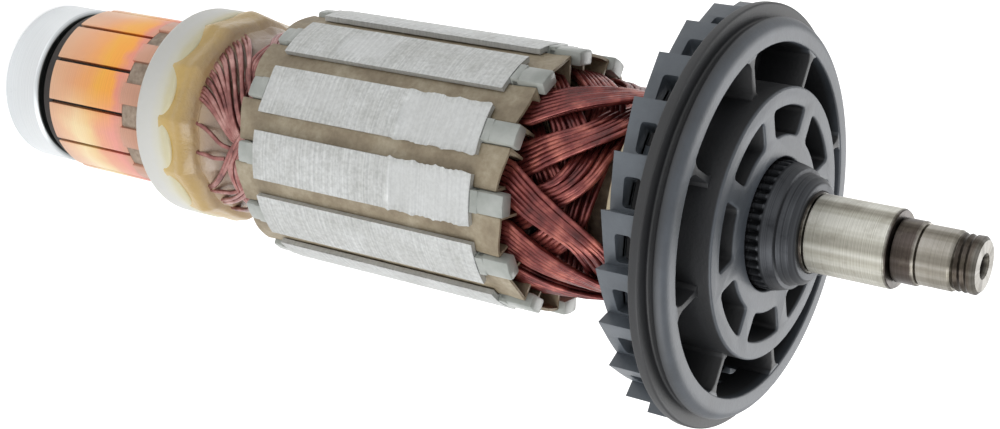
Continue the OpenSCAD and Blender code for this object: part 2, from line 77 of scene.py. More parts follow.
def deselect():
    if bpy.context.mode != "OBJECT":
        bpy.ops.object.mode_set(mode="OBJECT")
    bpy.ops.object.select_all(action="DESELECT")


def selectOnly(*pieces):
    deselect()
    for piece in pieces:
        piece.select_set(True)
    bpy.context.view_layer.objects.active = pieces[0]


def drawOutline(name, points):  # a vertex is extruded from point to point
    deselect()
    bpy.ops.mesh.primitive_plane_add(size=mm)
    piece = bpy.context.object
    piece.name = name
    bpy.ops.object.mode_set(mode="EDIT")
    bpy.ops.mesh.select_all(action="SELECT")
    bpy.ops.mesh.merge(type="CENTER")
    bpy.ops.transform.translate(value=points[0])
    for before, after in zip(points, points[1:]):
        bpy.ops.mesh.extrude_vertices_move(TRANSFORM_OT_translate={"value": after - before})
    return piece


def rounded(points, size):  # cuts each corner of a closed outline with a short curve
    outline = []
    for i, corner in enumerate(points):
        before = points[i - 1] - corner
        after = points[(i + 1) % len(points)] - corner
        cut = min(size, 0.45 * before.length, 0.45 * after.length)
        first = corner + before.normalized() * cut
        last = corner + after.normalized() * cut
        for share in (0.0, 0.33, 0.67, 1.0):
            outline.append(first.lerp(corner, share).lerp(corner.lerp(last, share), share))
    return outline


def turned(name, points, steps=128):  # turns a closed outline once round the shaft
    piece = drawOutline(name, points + points[:1])
    bpy.ops.mesh.select_all(action="SELECT")
    bpy.ops.mesh.spin(steps=steps, angle=math.tau, center=(0, 0, 0), axis=(0, 0, 1))
    bpy.ops.mesh.select_all(action="SELECT")
    bpy.ops.mesh.remove_doubles(threshold=0.002 * mm)
    bpy.ops.mesh.normals_make_consistent(inside=False)
    bpy.ops.object.mode_set(mode="OBJECT")
    return piece


def spun(name, profile, steps=128, corner=0.25 * mm):  # a (radius, z) profile, its corners rounded
    return turned(name, rounded([Vector((r, 0, z)) for r, z in profile], corner), steps)


def prism(name, outline, stations, bevel=0.0):  # lifts a flat (x, y) outline through the stations
    points = [Vector((p[0], p[1], stations[0])) for p in outline]
    piece = drawOutline(name, points)
    bpy.ops.mesh.select_all(action="SELECT")
    bpy.ops.mesh.edge_face_add()
    for low, high in zip(stations, stations[1:]):
        bpy.ops.mesh.extrude_region_move(TRANSFORM_OT_translate={"value": (0, 0, high - low)})
    bpy.ops.mesh.select_all(action="SELECT")
    bpy.ops.mesh.normals_make_consistent(inside=False)
    bpy.ops.object.mode_set(mode="OBJECT")
    if bevel:
        bevelEdges(piece, bevel)
    return piece


def bevelEdges(piece, width, segments=2, angle=30):
    bevel = piece.modifiers.new("Bevel", "BEVEL")
    bevel.width = width
    bevel.segments = segments
    bevel.angle_limit = math.radians(angle)
    applyModifiers(piece)


def applyModifiers(piece):
    selectOnly(piece)
    for modifier in list(piece.modifiers):
        bpy.ops.object.modifier_apply(modifier=modifier.name)


def copied(piece, name, angle):  # a copy with its own mesh, turned round the shaft
    other = piece.copy()
    other.data = piece.data.copy()
    other.name = name
    bpy.context.collection.objects.link(other)
    other.data.transform(Matrix.Rotation(angle, 4, "Z"))
    return other


def joined(name, pieces):
    selectOnly(*pieces)
    if len(pieces) > 1:
        bpy.ops.object.join()
    pieces[0].name = name
    return pieces[0]


def subtracted(piece, cutters):  # cuts the joined cutters out of a piece
    cutter = joined("cutter", cutters)
    cut = piece.modifiers.new("Cut", "BOOLEAN")
    cut.operation = "DIFFERENCE"
    cut.solver = "EXACT"
    cut.object = cutter
    applyModifiers(piece)
    bpy.data.objects.remove(cutter)


def shapeBy(piece, move):  # moves each vertex by a rule
    for vertex in piece.data.vertices:
        vertex.co = move(vertex.co.copy())
    piece.data.update()


def finished(piece, body, material, nodes=(), smooth=35):
    selectOnly(piece)
    bpy.ops.object.transform_apply(location=True, rotation=True, scale=True)
    bpy.ops.object.shade_smooth_by_angle(angle=math.radians(smooth))
    piece.data.materials.clear()
    piece.data.materials.append(material)
    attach(piece, body)
    if nodes:
        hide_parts(*nodes)


def dressed(node, material):  # a CAD node that keeps its shape and takes a better finish
    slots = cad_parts[node].data.materials
    slots.clear()
    slots.append(material)


# finishes

def hexColour(code):  # an sRGB hex value as linear light
    parts = [int(code[i:i + 2], 16) / 255 for i in (1, 3, 5)]
    linear = [p / 12.92 if p <= 0.04045 else ((p + 0.055) / 1.055) ** 2.4 for p in parts]
    return (*linear, 1.0)


def setUp(tree, node, settings):  # links or sets each input and property of a node
    for name, value in settings.items():
        if name == "stops":
            ramp = node.color_ramp
            while len(ramp.elements) < len(value):
                ramp.elements.new(0.5)
            for element, (place, colour) in zip(ramp.elements, value):
                element.position = place
                element.color = hexColour(colour)
        elif hasattr(value, "is_linked"):
            tree.links.new(value, node.inputs[name])
        elif isinstance(name, str) and hasattr(node, name):
            setattr(node, name, value)
        else:
            isHex = isinstance(value, str) and value.startswith("#")
            node.inputs[name].default_value = hexColour(value) if isHex else value


def addNode(tree, kind, output, settings):  # adds a shader node and gives back one of its outputs
    node = tree.nodes.new("ShaderNode" + kind)
    setUp(tree, node, settings)
    return node.outputs[output]


def newFinish(name, settings):  # a Principled material and its Object coordinates
    material = bpy.data.materials.new(name)
    material.use_nodes = True
    tree = material.node_tree
    shader = tree.nodes["Principled BSDF"]
    setUp(tree, shader, settings)
    return material, tree, shader, addNode(tree, "TexCoord", "Object", {})


def radiusOf(tree, place):  # distance from the shaft's axis, in millimetres
    flat = addNode(tree, "VectorMath", "Vector", {
        "operation": "MULTIPLY", 0: place, 1: (1 / mm, 1 / mm, 0)})
    return addNode(tree, "VectorMath", "Value", {"operation": "LENGTH", 0: flat})


def angleOf(tree, place):  # angle round the shaft, in radians
    across = addNode(tree, "SeparateXYZ", "X", {"Vector": place})
    upwards = addNode(tree, "SeparateXYZ", "Y", {"Vector": place})
    return addNode(tree, "Math", 0, {"operation": "ARCTAN2", 0: upwards, 1: across})


def alongShaft(tree, place, low, high):  # 0 at the lower height and 1 at the upper one
    height = addNode(tree, "SeparateXYZ", "Z", {"Vector": place})
    return addNode(tree, "MapRange", "Result", {"Value": height, "From Min": low, "From Max": high})


def turningLines(tree, place, spacing):  # fine rings that a lathe or a brush leaves, along z only
    height = addNode(tree, "SeparateXYZ", "Z", {"Vector": place})
    along = addNode(tree, "Math", 0, {"operation": "MULTIPLY", 0: height, 1: 1 / spacing})
    return addNode(tree, "TexNoise", "Fac", {
        "noise_dimensions": "1D", "W": along, "Scale": 1.0, "Detail": 2.0})


def between(tree, value, low, high, soft):  # 1 from low to high, with soft ends
    rise = addNode(tree, "MapRange", "Result", {
        "Value": value, "From Min": low - soft, "From Max": low})
    fall = addNode(tree, "MapRange", "Result", {
        "Value": value, "From Min": high + soft, "From Max": high})
    return addNode(tree, "Math", 0, {"operation": "MULTIPLY", 0: rise, 1: fall})


def darkened(tree, base, share, pattern, stops):  # a colour multiplied by the tones of a pattern
    tones = addNode(tree, "ValToRGB", "Color", {"Fac": pattern, "stops": stops})
    return addNode(tree, "Mix", 2, {
        "data_type": "RGBA", "blend_type": "MULTIPLY", 0: share, 6: base, 7: tones})


def surfaced(tree, shader, colour, relief, depth):  # gives a material its colour and its fine relief
    bump = addNode(tree, "Bump", "Normal", {"Height": relief, "Distance": depth})
    setUp(tree, shader, {"Base Color": colour, "Normal": bump})


def steelFinish(name, look):  # turned or ground steel: rings, with clouds of stain over them
    material, tree, shader, place = newFinish(name, {"Metallic": 1.0, "Roughness": look["roughness"]})
    rings = turningLines(tree, place, look["rings"])
    lined = addNode(tree, "ValToRGB", "Color", {
        "Fac": rings, "stops": [(0.3, look["dark"]), (0.7, look["light"])]})
    cloud = addNode(tree, "TexNoise", "Fac", {
        "Vector": place, "Scale": 1 / (4.5455 * mm), "Detail": 5.0, "Roughness": 0.65})
    clear = 1 - look["stainShare"]
    mask = addNode(tree, "ValToRGB", "Color", {
        "Fac": cloud, "stops": [(clear - 0.12, "#000000"), (clear + 0.1, "#ffffff")]})
    colour = addNode(tree, "Mix", 2, {"data_type": "RGBA", 0: mask, 6: lined, 7: look["stain"]})
    # painted shade: inside the outer chamfer the ends and bore take a dark blue-grey that stands for the
    # shade on the ring's side land
    if "paintedShadeEnd" in look:
        edge = addNode(tree, "MapRange", "Result", {
            "Value": radiusOf(tree, place),
            "From Min": look["outside"] - 0.9, "From Max": look["outside"] - 0.12})
        colour = addNode(tree, "Mix", 2, {"data_type": "RGBA", 0: edge, 6: look["paintedShadeEnd"], 7: colour})
    surfaced(tree, shader, colour, rings, 0.012 * mm)
    setUp(tree, shader, {"Roughness": addNode(tree, "MapRange", "Result", {
        "Value": cloud, "To Min": look["roughness"] - 0.06, "To Max": look["roughness"] + 0.18})})
    return material


def turnedShaftSteel():  # carbon steel, turned: pale seat, brown neck, rust in the thread
    material, tree, shader, place = newFinish("turnedShaftSteel", {"Metallic": 1.0, "Roughness": 0.34})
    cloud = addNode(tree, "TexNoise", "Fac", {
        "Vector": place, "Scale": 1 / (3.8462 * mm), "Detail": 6.0, "Roughness": 0.7})
    along = alongShaft(tree, place, 160 * mm, heights("shaft")[1])
    shifted = addNode(tree, "Math", 0, {"operation": "MULTIPLY_ADD", 0: cloud, 1: 0.03, 2: along})
    zone = addNode(tree, "ValToRGB", "Color", {"Fac": shifted, "stops": [
        (0.09, "#2f2c2a"), (0.125, "#35312e"), (0.14, "#cbcac2"), (0.56, "#cdccc4"),    # ground seat
        (0.575, "#4b4542"), (0.69, "#5b534f"), (0.705, "#a8a49d"), (0.885, "#9f9b93"),  # brown neck
        (0.905, "#4a443f"), (0.985, "#5f5852"), (1.0, "#75726d")]})                     # rusty thread
    rings = turningLines(tree, place, 0.16 * mm)
    lined = darkened(tree, zone, 0.5, rings, [(0.3, "#b0b0ac"), (0.7, "#ffffff")])
    mask = addNode(tree, "ValToRGB", "Color", {
        "Fac": cloud, "stops": [(0.5, "#000000"), (0.72, "#b0b0b0")]})
    stained = addNode(tree, "Mix", 2, {"data_type": "RGBA", 0: mask, 6: lined, 7: "#7f796c"})
    paintedReflectionStreaks = addNode(tree, "TexNoise", "Fac", {    # painted reflection: darker and lighter bands that run along the shaft
        "noise_dimensions": "1D", "W": angleOf(tree, place), "Scale": 1.6, "Detail": 2.5})
    withPaintedLight = darkened(tree, stained, 0.8, paintedReflectionStreaks, [
        (0.38, "#9c978d"), (0.5, "#dcdad4"), (0.58, "#ffffff")])
    metal = addNode(tree, "MapRange", "Result", {    # dark inside the centre hole
        "Value": radiusOf(tree, place), "From Min": 1.5, "From Max": 1.75})
    colour = addNode(tree, "Mix", 2, {"data_type": "RGBA", 0: metal, 6: "#1f1d1b", 7: withPaintedLight})
    surfaced(tree, shader, colour, rings, 0.012 * mm)
    rough = addNode(tree, "MapRange", "Result", {"Value": cloud, "To Min": 0.26, "To Max": 0.52})
    setUp(tree, shader, {"Roughness": rough})
    return material


def plainDark(name, colour, roughness):  # black rubber or phenolic moulding: matt, finely speckled
    material, tree, shader, place = newFinish(name, {"Roughness": roughness})
    speckle = addNode(tree, "TexNoise", "Fac", {
        "Vector": place, "Scale": 1 / (1.1111 * mm), "Detail": 4.0, "Roughness": 0.55})
    light = [min(1.0, part * 2.2 + 0.004) for part in hexColour(colour)[:3]]
    mottled = addNode(tree, "Mix", 2, {"data_type": "RGBA", 0: speckle, 6: colour, 7: (*light, 1.0)})
    surfaced(tree, shader, mottled, speckle, 0.05 * mm)
    return material


def rubCopper():  # turned copper bars: heat tints of gold and rose, unlike from bar to bar
    material, tree, shader, place = newFinish("rubCopper", {"Metallic": 0.8, "Roughness": 0.36})
    cloud = addNode(tree, "TexNoise", "Fac", {
        "Vector": place, "Scale": 1 / (5 * mm), "Detail": 4.0, "Roughness": 0.6})
    centred = addNode(tree, "Math", 0, {"operation": "MULTIPLY_ADD", 0: cloud, 1: 0.22, 2: -0.11})
    along = alongShaft(tree, place, *heights("commutator_bar_01"))
    shifted = addNode(tree, "Math", 0, {"operation": "ADD", 0: centred, 1: along})
    gold = addNode(tree, "ValToRGB", "Color", {"Fac": shifted, "stops": [
        (0.0, "#d9ad8c"), (0.2, "#dba37c"), (0.34, "#e3a266"), (0.45, "#e6a94f"), (0.56, "#e9a24e"),
        (0.64, "#d98f7c"), (0.72, "#c3947e"), (1.0, "#ad8670")]})
    rose = addNode(tree, "ValToRGB", "Color", {"Fac": shifted, "stops": [
        (0.0, "#d8ab90"), (0.12, "#e3bb98"), (0.24, "#e8d4aa"), (0.36, "#e4c796"), (0.46, "#dfa488"),
        (0.6, "#dc9a8f"), (0.7, "#c49681"), (1.0, "#ad8670")]})
    double = addNode(tree, "Math", 0, {
        "operation": "MULTIPLY_ADD", 0: angleOf(tree, place), 1: 2.0, 2: math.pi})
    wave = addNode(tree, "Math", 0, {"operation": "SINE", 0: double})     # gold and rose twice a turn
    share = addNode(tree, "MapRange", "Result", {"Value": wave, "From Min": -0.5, "From Max": 0.5})
    tint = addNode(tree, "Mix", 2, {"data_type": "RGBA", 0: share, 6: gold, 7: rose})
    rings = turningLines(tree, place, 0.2 * mm)
    lined = darkened(tree, tint, 0.3, rings, [(0.35, "#d2d2d2"), (0.65, "#ffffff")])
    surfaced(tree, shader, lined, rings, 0.01 * mm)
    return material


def pouredFinish(name, settings, cloud, stray, ends, stops, bump):  # tints that run along the shaft
    material, tree, shader, place = newFinish(name, settings)
    noise = addNode(tree, "TexNoise", "Fac", {"Vector": place, **cloud})
    along = alongShaft(tree, place, *ends)
    shifted = addNode(tree, "Math", 0, {"operation": "MULTIPLY_ADD", 0: noise, 1: stray, 2: along})
    tint = addNode(tree, "ValToRGB", "Color", {"Fac": shifted, "stops": stops})
    surfaced(tree, shader, tint, noise, bump)
    return material


def bandTape():  # pale resin-soaked binding: milky and waxy, yellower where the resin starts
    return pouredFinish(
        "bandTape",
        {"Roughness": 0.42, "Subsurface Weight": 0.2, "Subsurface Radius": (2 * mm, 2 * mm, 1.5 * mm)},
        {"Scale": 1 / (5.5556 * mm), "Detail": 4.0, "Roughness": 0.55}, 0.25, heights("lead_band"),
        [(0.1, "#d6d7d3"), (0.6, "#dcdcd7"), (0.85, "#dfddce"), (1.0, "#dad3b2")], 0.25 * mm)


def trickleResin():  # olive-amber resin run over the wire ends: glossy, beige and dull inside
    return pouredFinish(
        "trickleResin", {"Roughness": 0.34, "Coat Weight": 0.35, "Coat Roughness": 0.22},
        {"Scale": 1 / (4.1667 * mm), "Detail": 5.0, "Roughness": 0.65}, 0.2, (44 * mm, 60 * mm),
        [(0.15, "#d2b66c"), (0.32, "#c7a65c"), (0.5, "#bb9b5c"), (0.62, "#b09673"), (0.75, "#ab9480"),
         (1.0, "#988372")], 0.5 * mm)


def cloudedFinish(name, settings, size, stops, bump):  # one tint that wanders in clouds of a size
    material, tree, shader, place = newFinish(name, settings)
    cloud = addNode(tree, "TexNoise", "Fac", {
        "Vector": place, "Scale": 1 / size, "Detail": 4.0, "Roughness": 0.55})
    tint = addNode(tree, "ValToRGB", "Color", {"Fac": cloud, "stops": stops})
    surfaced(tree, shader, tint, cloud, bump)
    return material


def glassFilled(name, dark, light):  # moulded insulating plastic with a thin varnish: faint sheen
    return cloudedFinish(name, {"Roughness": 0.4, "Coat Weight": 0.3}, 4.1667 * mm,
                         [(0.3, dark), (0.7, light)], 0.12 * mm)


def wireEnamel():  # enamelled and varnished copper: deep red, paler where resin dusted the leads
    material, tree, shader, place = newFinish("wireEnamel", {
        "Metallic": 0.5, "Roughness": 0.32, "Coat Weight": 0.12, "Coat Roughness": 0.18})
    cloud = addNode(tree, "TexNoise", "Fac", {
        "Vector": place, "Scale": 1 / (3.3333 * mm), "Detail": 4.0, "Roughness": 0.55})
    drive = addNode(tree, "ValToRGB", "Color", {
        "Fac": cloud, "stops": [(0.3, "#481a1a"), (0.5, "#7a3835"), (0.75, "#bd7062")]})
    dusted = addNode(tree, "ValToRGB", "Color", {
        "Fac": cloud, "stops": [(0.3, "#5e3433"), (0.5, "#955f5a"), (0.72, "#c39790")]})
    end = alongShaft(tree, place, 66 * mm, 74 * mm)
    grain = addNode(tree, "TexNoise", "Fac", {
        "Vector": place, "Scale": 1 / (0.66667 * mm), "Detail": 3.0, "Roughness": 0.55})
    surfaced(tree, shader, addNode(tree, "Mix", 2, {"data_type": "RGBA", 0: end, 6: dusted, 7: drive}),
             grain, 0.06 * mm)
    return material


def stackedSheets():  # ground edges of 0.5 mm electrical steel sheets: pale, dull, faintly lined
    material, tree, shader, place = newFinish("stackedSheets", {"Metallic": 0.55, "Roughness": 0.5})
    rings = turningLines(tree, place, 0.5 * mm)
    sheet = addNode(tree, "ValToRGB", "Color", {
        "Fac": rings, "stops": [(0.3, "#c3c5c5"), (0.5, "#cccecd"), (0.7, "#d4d6d5")]})
    cloud = addNode(tree, "TexNoise", "Fac", {
        "Vector": place, "Scale": 1 / (6.25 * mm), "Detail": 6.0, "Roughness": 0.7})
    worn = darkened(tree, sheet, 0.5, cloud, [(0.35, "#cdccc7"), (0.65, "#ffffff")])
    grain = addNode(tree, "TexNoise", "Fac", {
        "Vector": place, "Scale": 1 / (0.58824 * mm), "Detail": 2.0, "Roughness": 0.55})
    gritty = darkened(tree, worn, 0.35, grain, [(0.35, "#c4c4c2"), (0.6, "#ffffff")])
    outside = reach("laminated_core") / mm
    milled = addNode(tree, "MapRange", "Result", {          # the balance cuts are freshly bright
        "Value": radiusOf(tree, place),
        "From Min": outside - 0.12, "From Max": outside - 0.3, "To Max": 0.45})
    colour = addNode(tree, "Mix", 2, {"data_type": "RGBA", 0: milled, 6: gritty, 7: "#ced0d0"})
    surfaced(tree, shader, colour, rings, 0.02 * mm)
    return material


def slotPaper():  # varnished slot paper: khaki, fibrous, darker in folds
    material, tree, shader, place = newFinish("slotPaper", {"Roughness": 0.55})
    cloud = addNode(tree, "TexNoise", "Fac", {
        "Vector": place, "Scale": 1 / (6.6667 * mm), "Detail": 5.0, "Roughness": 0.65})
    fibre = addNode(tree, "TexNoise", "Fac", {
        "Vector": place, "Scale": 1 / (0.71429 * mm), "Detail": 3.0, "Roughness": 0.55})
    base = addNode(tree, "ValToRGB", "Color", {
        "Fac": cloud, "stops": [(0.25, "#7f715c"), (0.5, "#a3967f"), (0.75, "#c6bca6")]})
    woven = darkened(tree, base, 0.35, fibre, [(0.3, "#c9bfae"), (0.7, "#ffffff")])
    surfaced(tree, shader, woven, fibre, 0.06 * mm)
    return material


paintedLightBands = {  # where painted light greys the fan's lit faces and scoops: lowest, highest and softness of each band
    "height": {"scoops": (140 * mm, 149.4 * mm, 0.3 * mm), "ring": (153.9 * mm, 160 * mm, 1.2 * mm),
               "hub": (156.2 * mm, 160 * mm, 0.3 * mm)},
    "radius": {"scoops": (27.9, 40, 0.4), "ring": (27.3, 40, 0.3)},     # in millimetres
}


def fanNylon():  # black glass-filled nylon, moulded: satin; painted light greys the lit ring and hub faces and the scoops
    material, tree, shader, place = newFinish("fanNylon", {
        "Roughness": 0.38, "Specular IOR Level": 0.62})
    cloud = addNode(tree, "TexNoise", "Fac", {
        "Vector": place, "Scale": 1 / (9.0909 * mm), "Detail": 6.0, "Roughness": 0.65})
    grain = addNode(tree, "TexNoise", "Fac", {
        "Vector": place, "Scale": 1 / (0.55556 * mm), "Detail": 2.0, "Roughness": 0.55})
    height = addNode(tree, "SeparateXYZ", "Z", {"Vector": place})
    radius = radiusOf(tree, place)
    scoops, ring = (addNode(tree, "Math", 0, {
        "operation": "MULTIPLY", 0: between(tree, height, *paintedLightBands["height"][name]),
        1: between(tree, radius, *paintedLightBands["radius"][name])}) for name in ("scoops", "ring"))
    hub = between(tree, height, *paintedLightBands["height"]["hub"])
    litFaces = addNode(tree, "Math", 0, {"operation": "MAXIMUM", 0: hub, 1: ring})
    either = addNode(tree, "Math", 0, {"operation": "MAXIMUM", 0: scoops, 1: litFaces})
    # painted light: lighter greys stand in for the lit faces and scoops, while the recess and groove
    # keep the nylon's black
    blackNylon, paintedLitFace, paintedLitScoop = (
        addNode(tree, "ValToRGB", "Color", {"Fac": cloud, "stops": [(0.3, dark), (0.7, light)]})
        for dark, light in (("#0f1012", "#191b1f"), ("#3a3f45", "#50565e"), ("#4b5158", "#61686f")))
    withPaintedLight = addNode(tree, "Mix", 2, {"data_type": "RGBA", 0: litFaces, 6: blackNylon, 7: paintedLitFace})
    colour = addNode(tree, "Mix", 2, {"data_type": "RGBA", 0: scoops, 6: withPaintedLight, 7: paintedLitScoop})
    surfaced(tree, shader, colour, grain, 0.03 * mm)
    rough = addNode(tree, "MapRange", "Result", {"Value": either, "To Min": 0.55, "To Max": 0.46})
    setUp(tree, shader, {"Roughness": rough})
    return material


# hardened chrome steel, ground: fine rings, satin; inside its outer chamfer the end faces and bore take
# a painted shade
bearingSteel = steelFinish("groundBearingSteel", {
    "dark": "#c6cacc", "light": "#dadddf", "stain": "#b4b8ba", "stainShare": 0.2, "roughness": 0.36,
    "rings": 0.12 * mm, "paintedShadeEnd": "#5c6361", "outside": reach("bearing_outer_ring") / mm})
# oxide-blackened steel bush: dark and satin
bushSteel = steelFinish("blackenedSteel", {
    "dark": "#333437", "light": "#46484b", "stain": "#26272a", "stainShare": 0.35, "roughness": 0.4,
    "rings": 0.25 * mm})
shaftSteel = turnedShaftSteel()
sealRubber = plainDark("sealRubber", "#101312", 0.6)
mouldedBlack = plainDark("mouldedBlack", "#150f0c", 0.6)
copper = rubCopper()
band = bandTape()
resin = trickleResin()
# filled resin between the tangs: dull grey-beige grit
packing = cloudedFinish("tangPacking", {"Roughness": 0.7}, 1.1111 * mm,
                        [(0.3, "#8d7c6d"), (0.7, "#b7a694")], 0.15 * mm)
enamel = wireEnamel()
sheets = stackedSheets()
paper = slotPaper()
insulator = glassFilled("insulator", "#969b95", "#b7bbb6")
washerFibre = glassFilled("washerFibre", "#b3a487", "#cdbf9f")
nylon = fanNylon()
print("finishes made")


# bearing

bearing = {
    "land": 13.85 * mm,       # inside radius of the ring beside its seals
    "inner": 11.6 * mm,       # and between them
    "edge": 0.6 * mm,         # chamfer on the ring's outside
    "seat": 1.2 * mm,         # depth of the step that holds a seal
    "seatFoot": 1.6 * mm,
    "sealDish": 0.3 * mm,     # how far a seal's middle lies below its beads
    "sealGap": 0.05 * mm,
}


def buildBearing():
    low, high = heights("bearing_outer_ring")
    outside = reach("bearing_outer_ring")
    land, inner, edge = bearing["land"], bearing["inner"], bearing["edge"]
    seat, foot = bearing["seat"], bearing["seatFoot"]
    ring = spun("bearingOuterRing", [
        (land, low), (outside - edge, low), (outside, low + edge), (outside, high - edge),
        (outside - edge, high), (land, high), (land, high - seat), (inner, high - foot),
        (inner, low + foot), (land, low + seat)], corner=0.2 * mm)
    finished(ring, "bearing_outer", bearingSteel, ["bearing_outer_ring"])
    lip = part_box("bearing_inner_ring")[1].x + 0.2 * mm
    rim = land - bearing["sealGap"]
    for name, node, sign in (("bearingSealLower", "bearing_seal_lower", -1),
                             ("bearingSealUpper", "bearing_seal_upper", 1)):
        back, face = heights(node)[::sign]
        dish = face - bearing["sealDish"] * sign
        seal = spun(name, [
            (lip, back), (lip, mix(face, dish, 0.5)), (lip + 0.5 * mm, face), (lip + 1.0 * mm, dish),
            (land - 1.0 * mm, dish), (land - 0.6 * mm, face), (rim, face), (rim, back)], corner=0.1 * mm)
        finished(seal, "bearing_outer", sealRubber, [node])
    for node in ("bearing_inner_ring", "bearing_balls", "bearing_cage"):
        dressed(node, bearingSteel)


# commutator

commutator = {
    "track": 15.55 * mm,      # radius of the brush track
    "trackLength": 19.3 * mm,
    "inner": 10.6 * mm,
    "gap": 0.6 * mm,          # between two bars
    "tangWidth": 4.0 * mm,
    "tangTop": 16.0 * mm,
    "tangThickness": 2.4 * mm,
    "tangCrown": 0.1 * mm,
    "barEdge": 0.22 * mm,
    "tangEdge": 0.15 * mm,
}


def arc(radius, start, end, steps):
    return [polar(radius, mix(start, end, i / steps)) for i in range(steps + 1)]


def buildCommutator():
    low, high = heights("commutator_bar_01")
    track, inner = commutator["track"], commutator["inner"]
    trackEnd = low + commutator["trackLength"]
    outerHalf = pitch / 2 - math.asin(commutator["gap"] / 2 / track)
    innerHalf = pitch / 2 - math.asin(commutator["gap"] / 2 / inner)
    outline = arc(track, -outerHalf, outerHalf, 10) + arc(inner, innerHalf, -innerHalf, 4)
    bar = prism("bar", outline, [low, trackEnd], commutator["barEdge"])
    half, crown = commutator["tangWidth"] / 2, commutator["tangCrown"]
    top = commutator["tangTop"]
    bottom = top - commutator["tangThickness"]
    tang = prism("tang", [(bottom, -half), (top - crown, -half), (top + crown, 0), (top - crown, half),
                          (bottom, half)], [trackEnd - 0.3 * mm, high], commutator["tangEdge"])
    model = joined("commutatorBar", [bar, tang])
    for i in range(slotCount):
        piece = copied(model, f"commutatorBar{i + 1:02d}", pitch * (i + 0.5))
        finished(piece, "rotor", copper, [f"commutator_bar_{i + 1:02d}"])
    bpy.data.objects.remove(model)
    dressed("commutator_body", mouldedBlack)
    dressed("commutator_bush", bushSteel)
    dressed("tang_packing", packing)


# band and resin over the leads

binding = {
    "lobe": 2.1 * mm,                 # how far the band's scallops reach past their cusps
    "cusp": 1.8 * mm,                 # how far the cusps lie below the band's far end
    "cuspAngle": math.radians(-6),
    "wall": 1.9 * mm,
    "resinRise": 0.35 * mm,
    "resinLump": 0.35 * mm,
    "resinBore": 7.0 * mm,
    # the resin's slope under the end turns: radius, and height above the end of its thick part
    "slope": [(17.0 * mm, -0.6 * mm), (15.9 * mm, 1.2 * mm), (15.3 * mm, 4.5 * mm), (15.0 * mm, 8 * mm),
              (14.6 * mm, 11.5 * mm)],
}


def cuspShare(angle):  # place between two cusps, from 0 to 1
    return ((angle - binding["cuspAngle"]) / pitch) % 1.0


def bandEdge(angle):  # the band's far edge: arcs that meet in cusps one pitch apart
    return binding["lobe"] * (math.sqrt(math.sin(math.pi * cuspShare(angle)) + 0.0009) - 0.03)


def buildBinding():
    low, high = heights("lead_band")
    outside = reach("lead_band")
    cusp = high - binding["cusp"]
    inside = outside - binding["wall"]
    tape = spun("leadBand", [
        (inside, low), (outside - 0.5 * mm, low), (outside, low + 0.6 * mm),
        (outside + 0.05 * mm, mix(low, cusp, 0.5)), (outside, cusp - 0.5 * mm),
        (outside - 0.3 * mm, cusp), (inside, cusp)], steps=288, corner=0.3 * mm)

    def scallop(point):
        share = ease((point.z - low) / (cusp - low))
        angle = math.atan2(point.y, point.x)
        point.z += bandEdge(angle) * share
        return point

    shapeBy(tape, scallop)
    finished(tape, "rotor", band, ["lead_band"])

    bottom, top = heights("lead_resin")
    bore = binding["resinBore"]
    slope = [(radius, top + rise) for radius, rise in binding["slope"]]
    fill = spun("leadResin", [
        (bore, bottom), (inside, bottom), (inside, cusp - 1 * mm), (outside - 0.35 * mm, cusp - 1 * mm),
        (outside - 0.1 * mm, cusp + 2.6 * mm), (outside - 0.1 * mm, top - 3.4 * mm),
        (outside - 1.0 * mm, top - 1.6 * mm), (outside - 2.4 * mm, top - 1.1 * mm)] + slope
        + [(bore, slope[-1][1])], steps=288, corner=1.0 * mm)

    def ridge(point):  # the runs of resin rise towards each cusp
        radius = math.hypot(point.x, point.y)
        if radius < 12 * mm or point.z < cusp - 0.8 * mm:
            return point
        angle = math.atan2(point.y, point.x)
        height = point.z / mm
        peak = abs(cuspShare(angle) - 0.5) * 2
        lift = binding["resinRise"] * (peak ** 3 - 0.35)
        lump = math.sin(7 * angle + height * 0.9) * math.sin(5 * angle - height * 0.55)
        new = radius + lift + binding["resinLump"] * lump
        return Vector((point.x * new / radius, point.y * new / radius, point.z))

    shapeBy(fill, ridge)
    finished(fill, "rotor", resin, ["lead_resin"])


# laminated core

core = {
    "tip": 0.9 * mm,
    "neck": 3.7 * mm,
    "mouth": 3.2 * mm,
    "slotBottom": 11.5 * mm,
    "bore": 7.0 * mm,
    "sheet": 0.5 * mm,
    "scatter": 0.02,          # how unevenly the sheets' edges lie, in millimetres
    # tooth, start and end of a milled balance cut above the core's lower face, and its depth
    "cuts": [(8, 28.1 * mm, 44.5 * mm, 0.5 * mm), (9, 28.1 * mm, 44.5 * mm, 0.5 * mm),
             (8, 0.0, 17.0 * mm, 0.25 * mm), (7, 10.0 * mm, 20.0 * mm, 0.35 * mm)],
}


def buildCore():
    low, high = heights("laminated_core")
    outside = reach("laminated_core")
    layers = round((high - low) / core["sheet"])
    stations = [mix(low, high, i / layers) for i in range(layers + 1)]
    half = pitch / 2 - math.asin(core["mouth"] / 2 / outside)
    neck = core["neck"] / 2
    inner = outside - core["tip"]
    right = [Vector((core["slotBottom"] - 0.4 * mm, -neck, 0)), Vector((inner - 0.4 * mm, -neck, 0)),
             Vector((inner - 0.05 * mm, -neck - 0.4 * mm, 0)), polar(inner, -half)]
    left = [Vector((p.x, -p.y, 0)) for p in reversed(right)]
    outline = right + arc(outside, -half, half, 10) + left
    tooth = prism("tooth", outline, stations)
    teeth = []
    for i in range(slotCount):
        piece = copied(tooth, f"tooth{i}", 0)
        shapeBy(piece, toothRule(i, low, outside))
        piece.data.transform(Matrix.Rotation(pitch * i, 4, "Z"))
        teeth.append(piece)
    yoke = spun("yoke", [(core["bore"], low), (core["slotBottom"], low), (core["slotBottom"], high),
                         (core["bore"], high)], corner=0.05 * mm)
    bpy.data.objects.remove(tooth)
    finished(joined("laminatedCore", teeth + [yoke]), "rotor", sheets,
             ["laminated_core"])


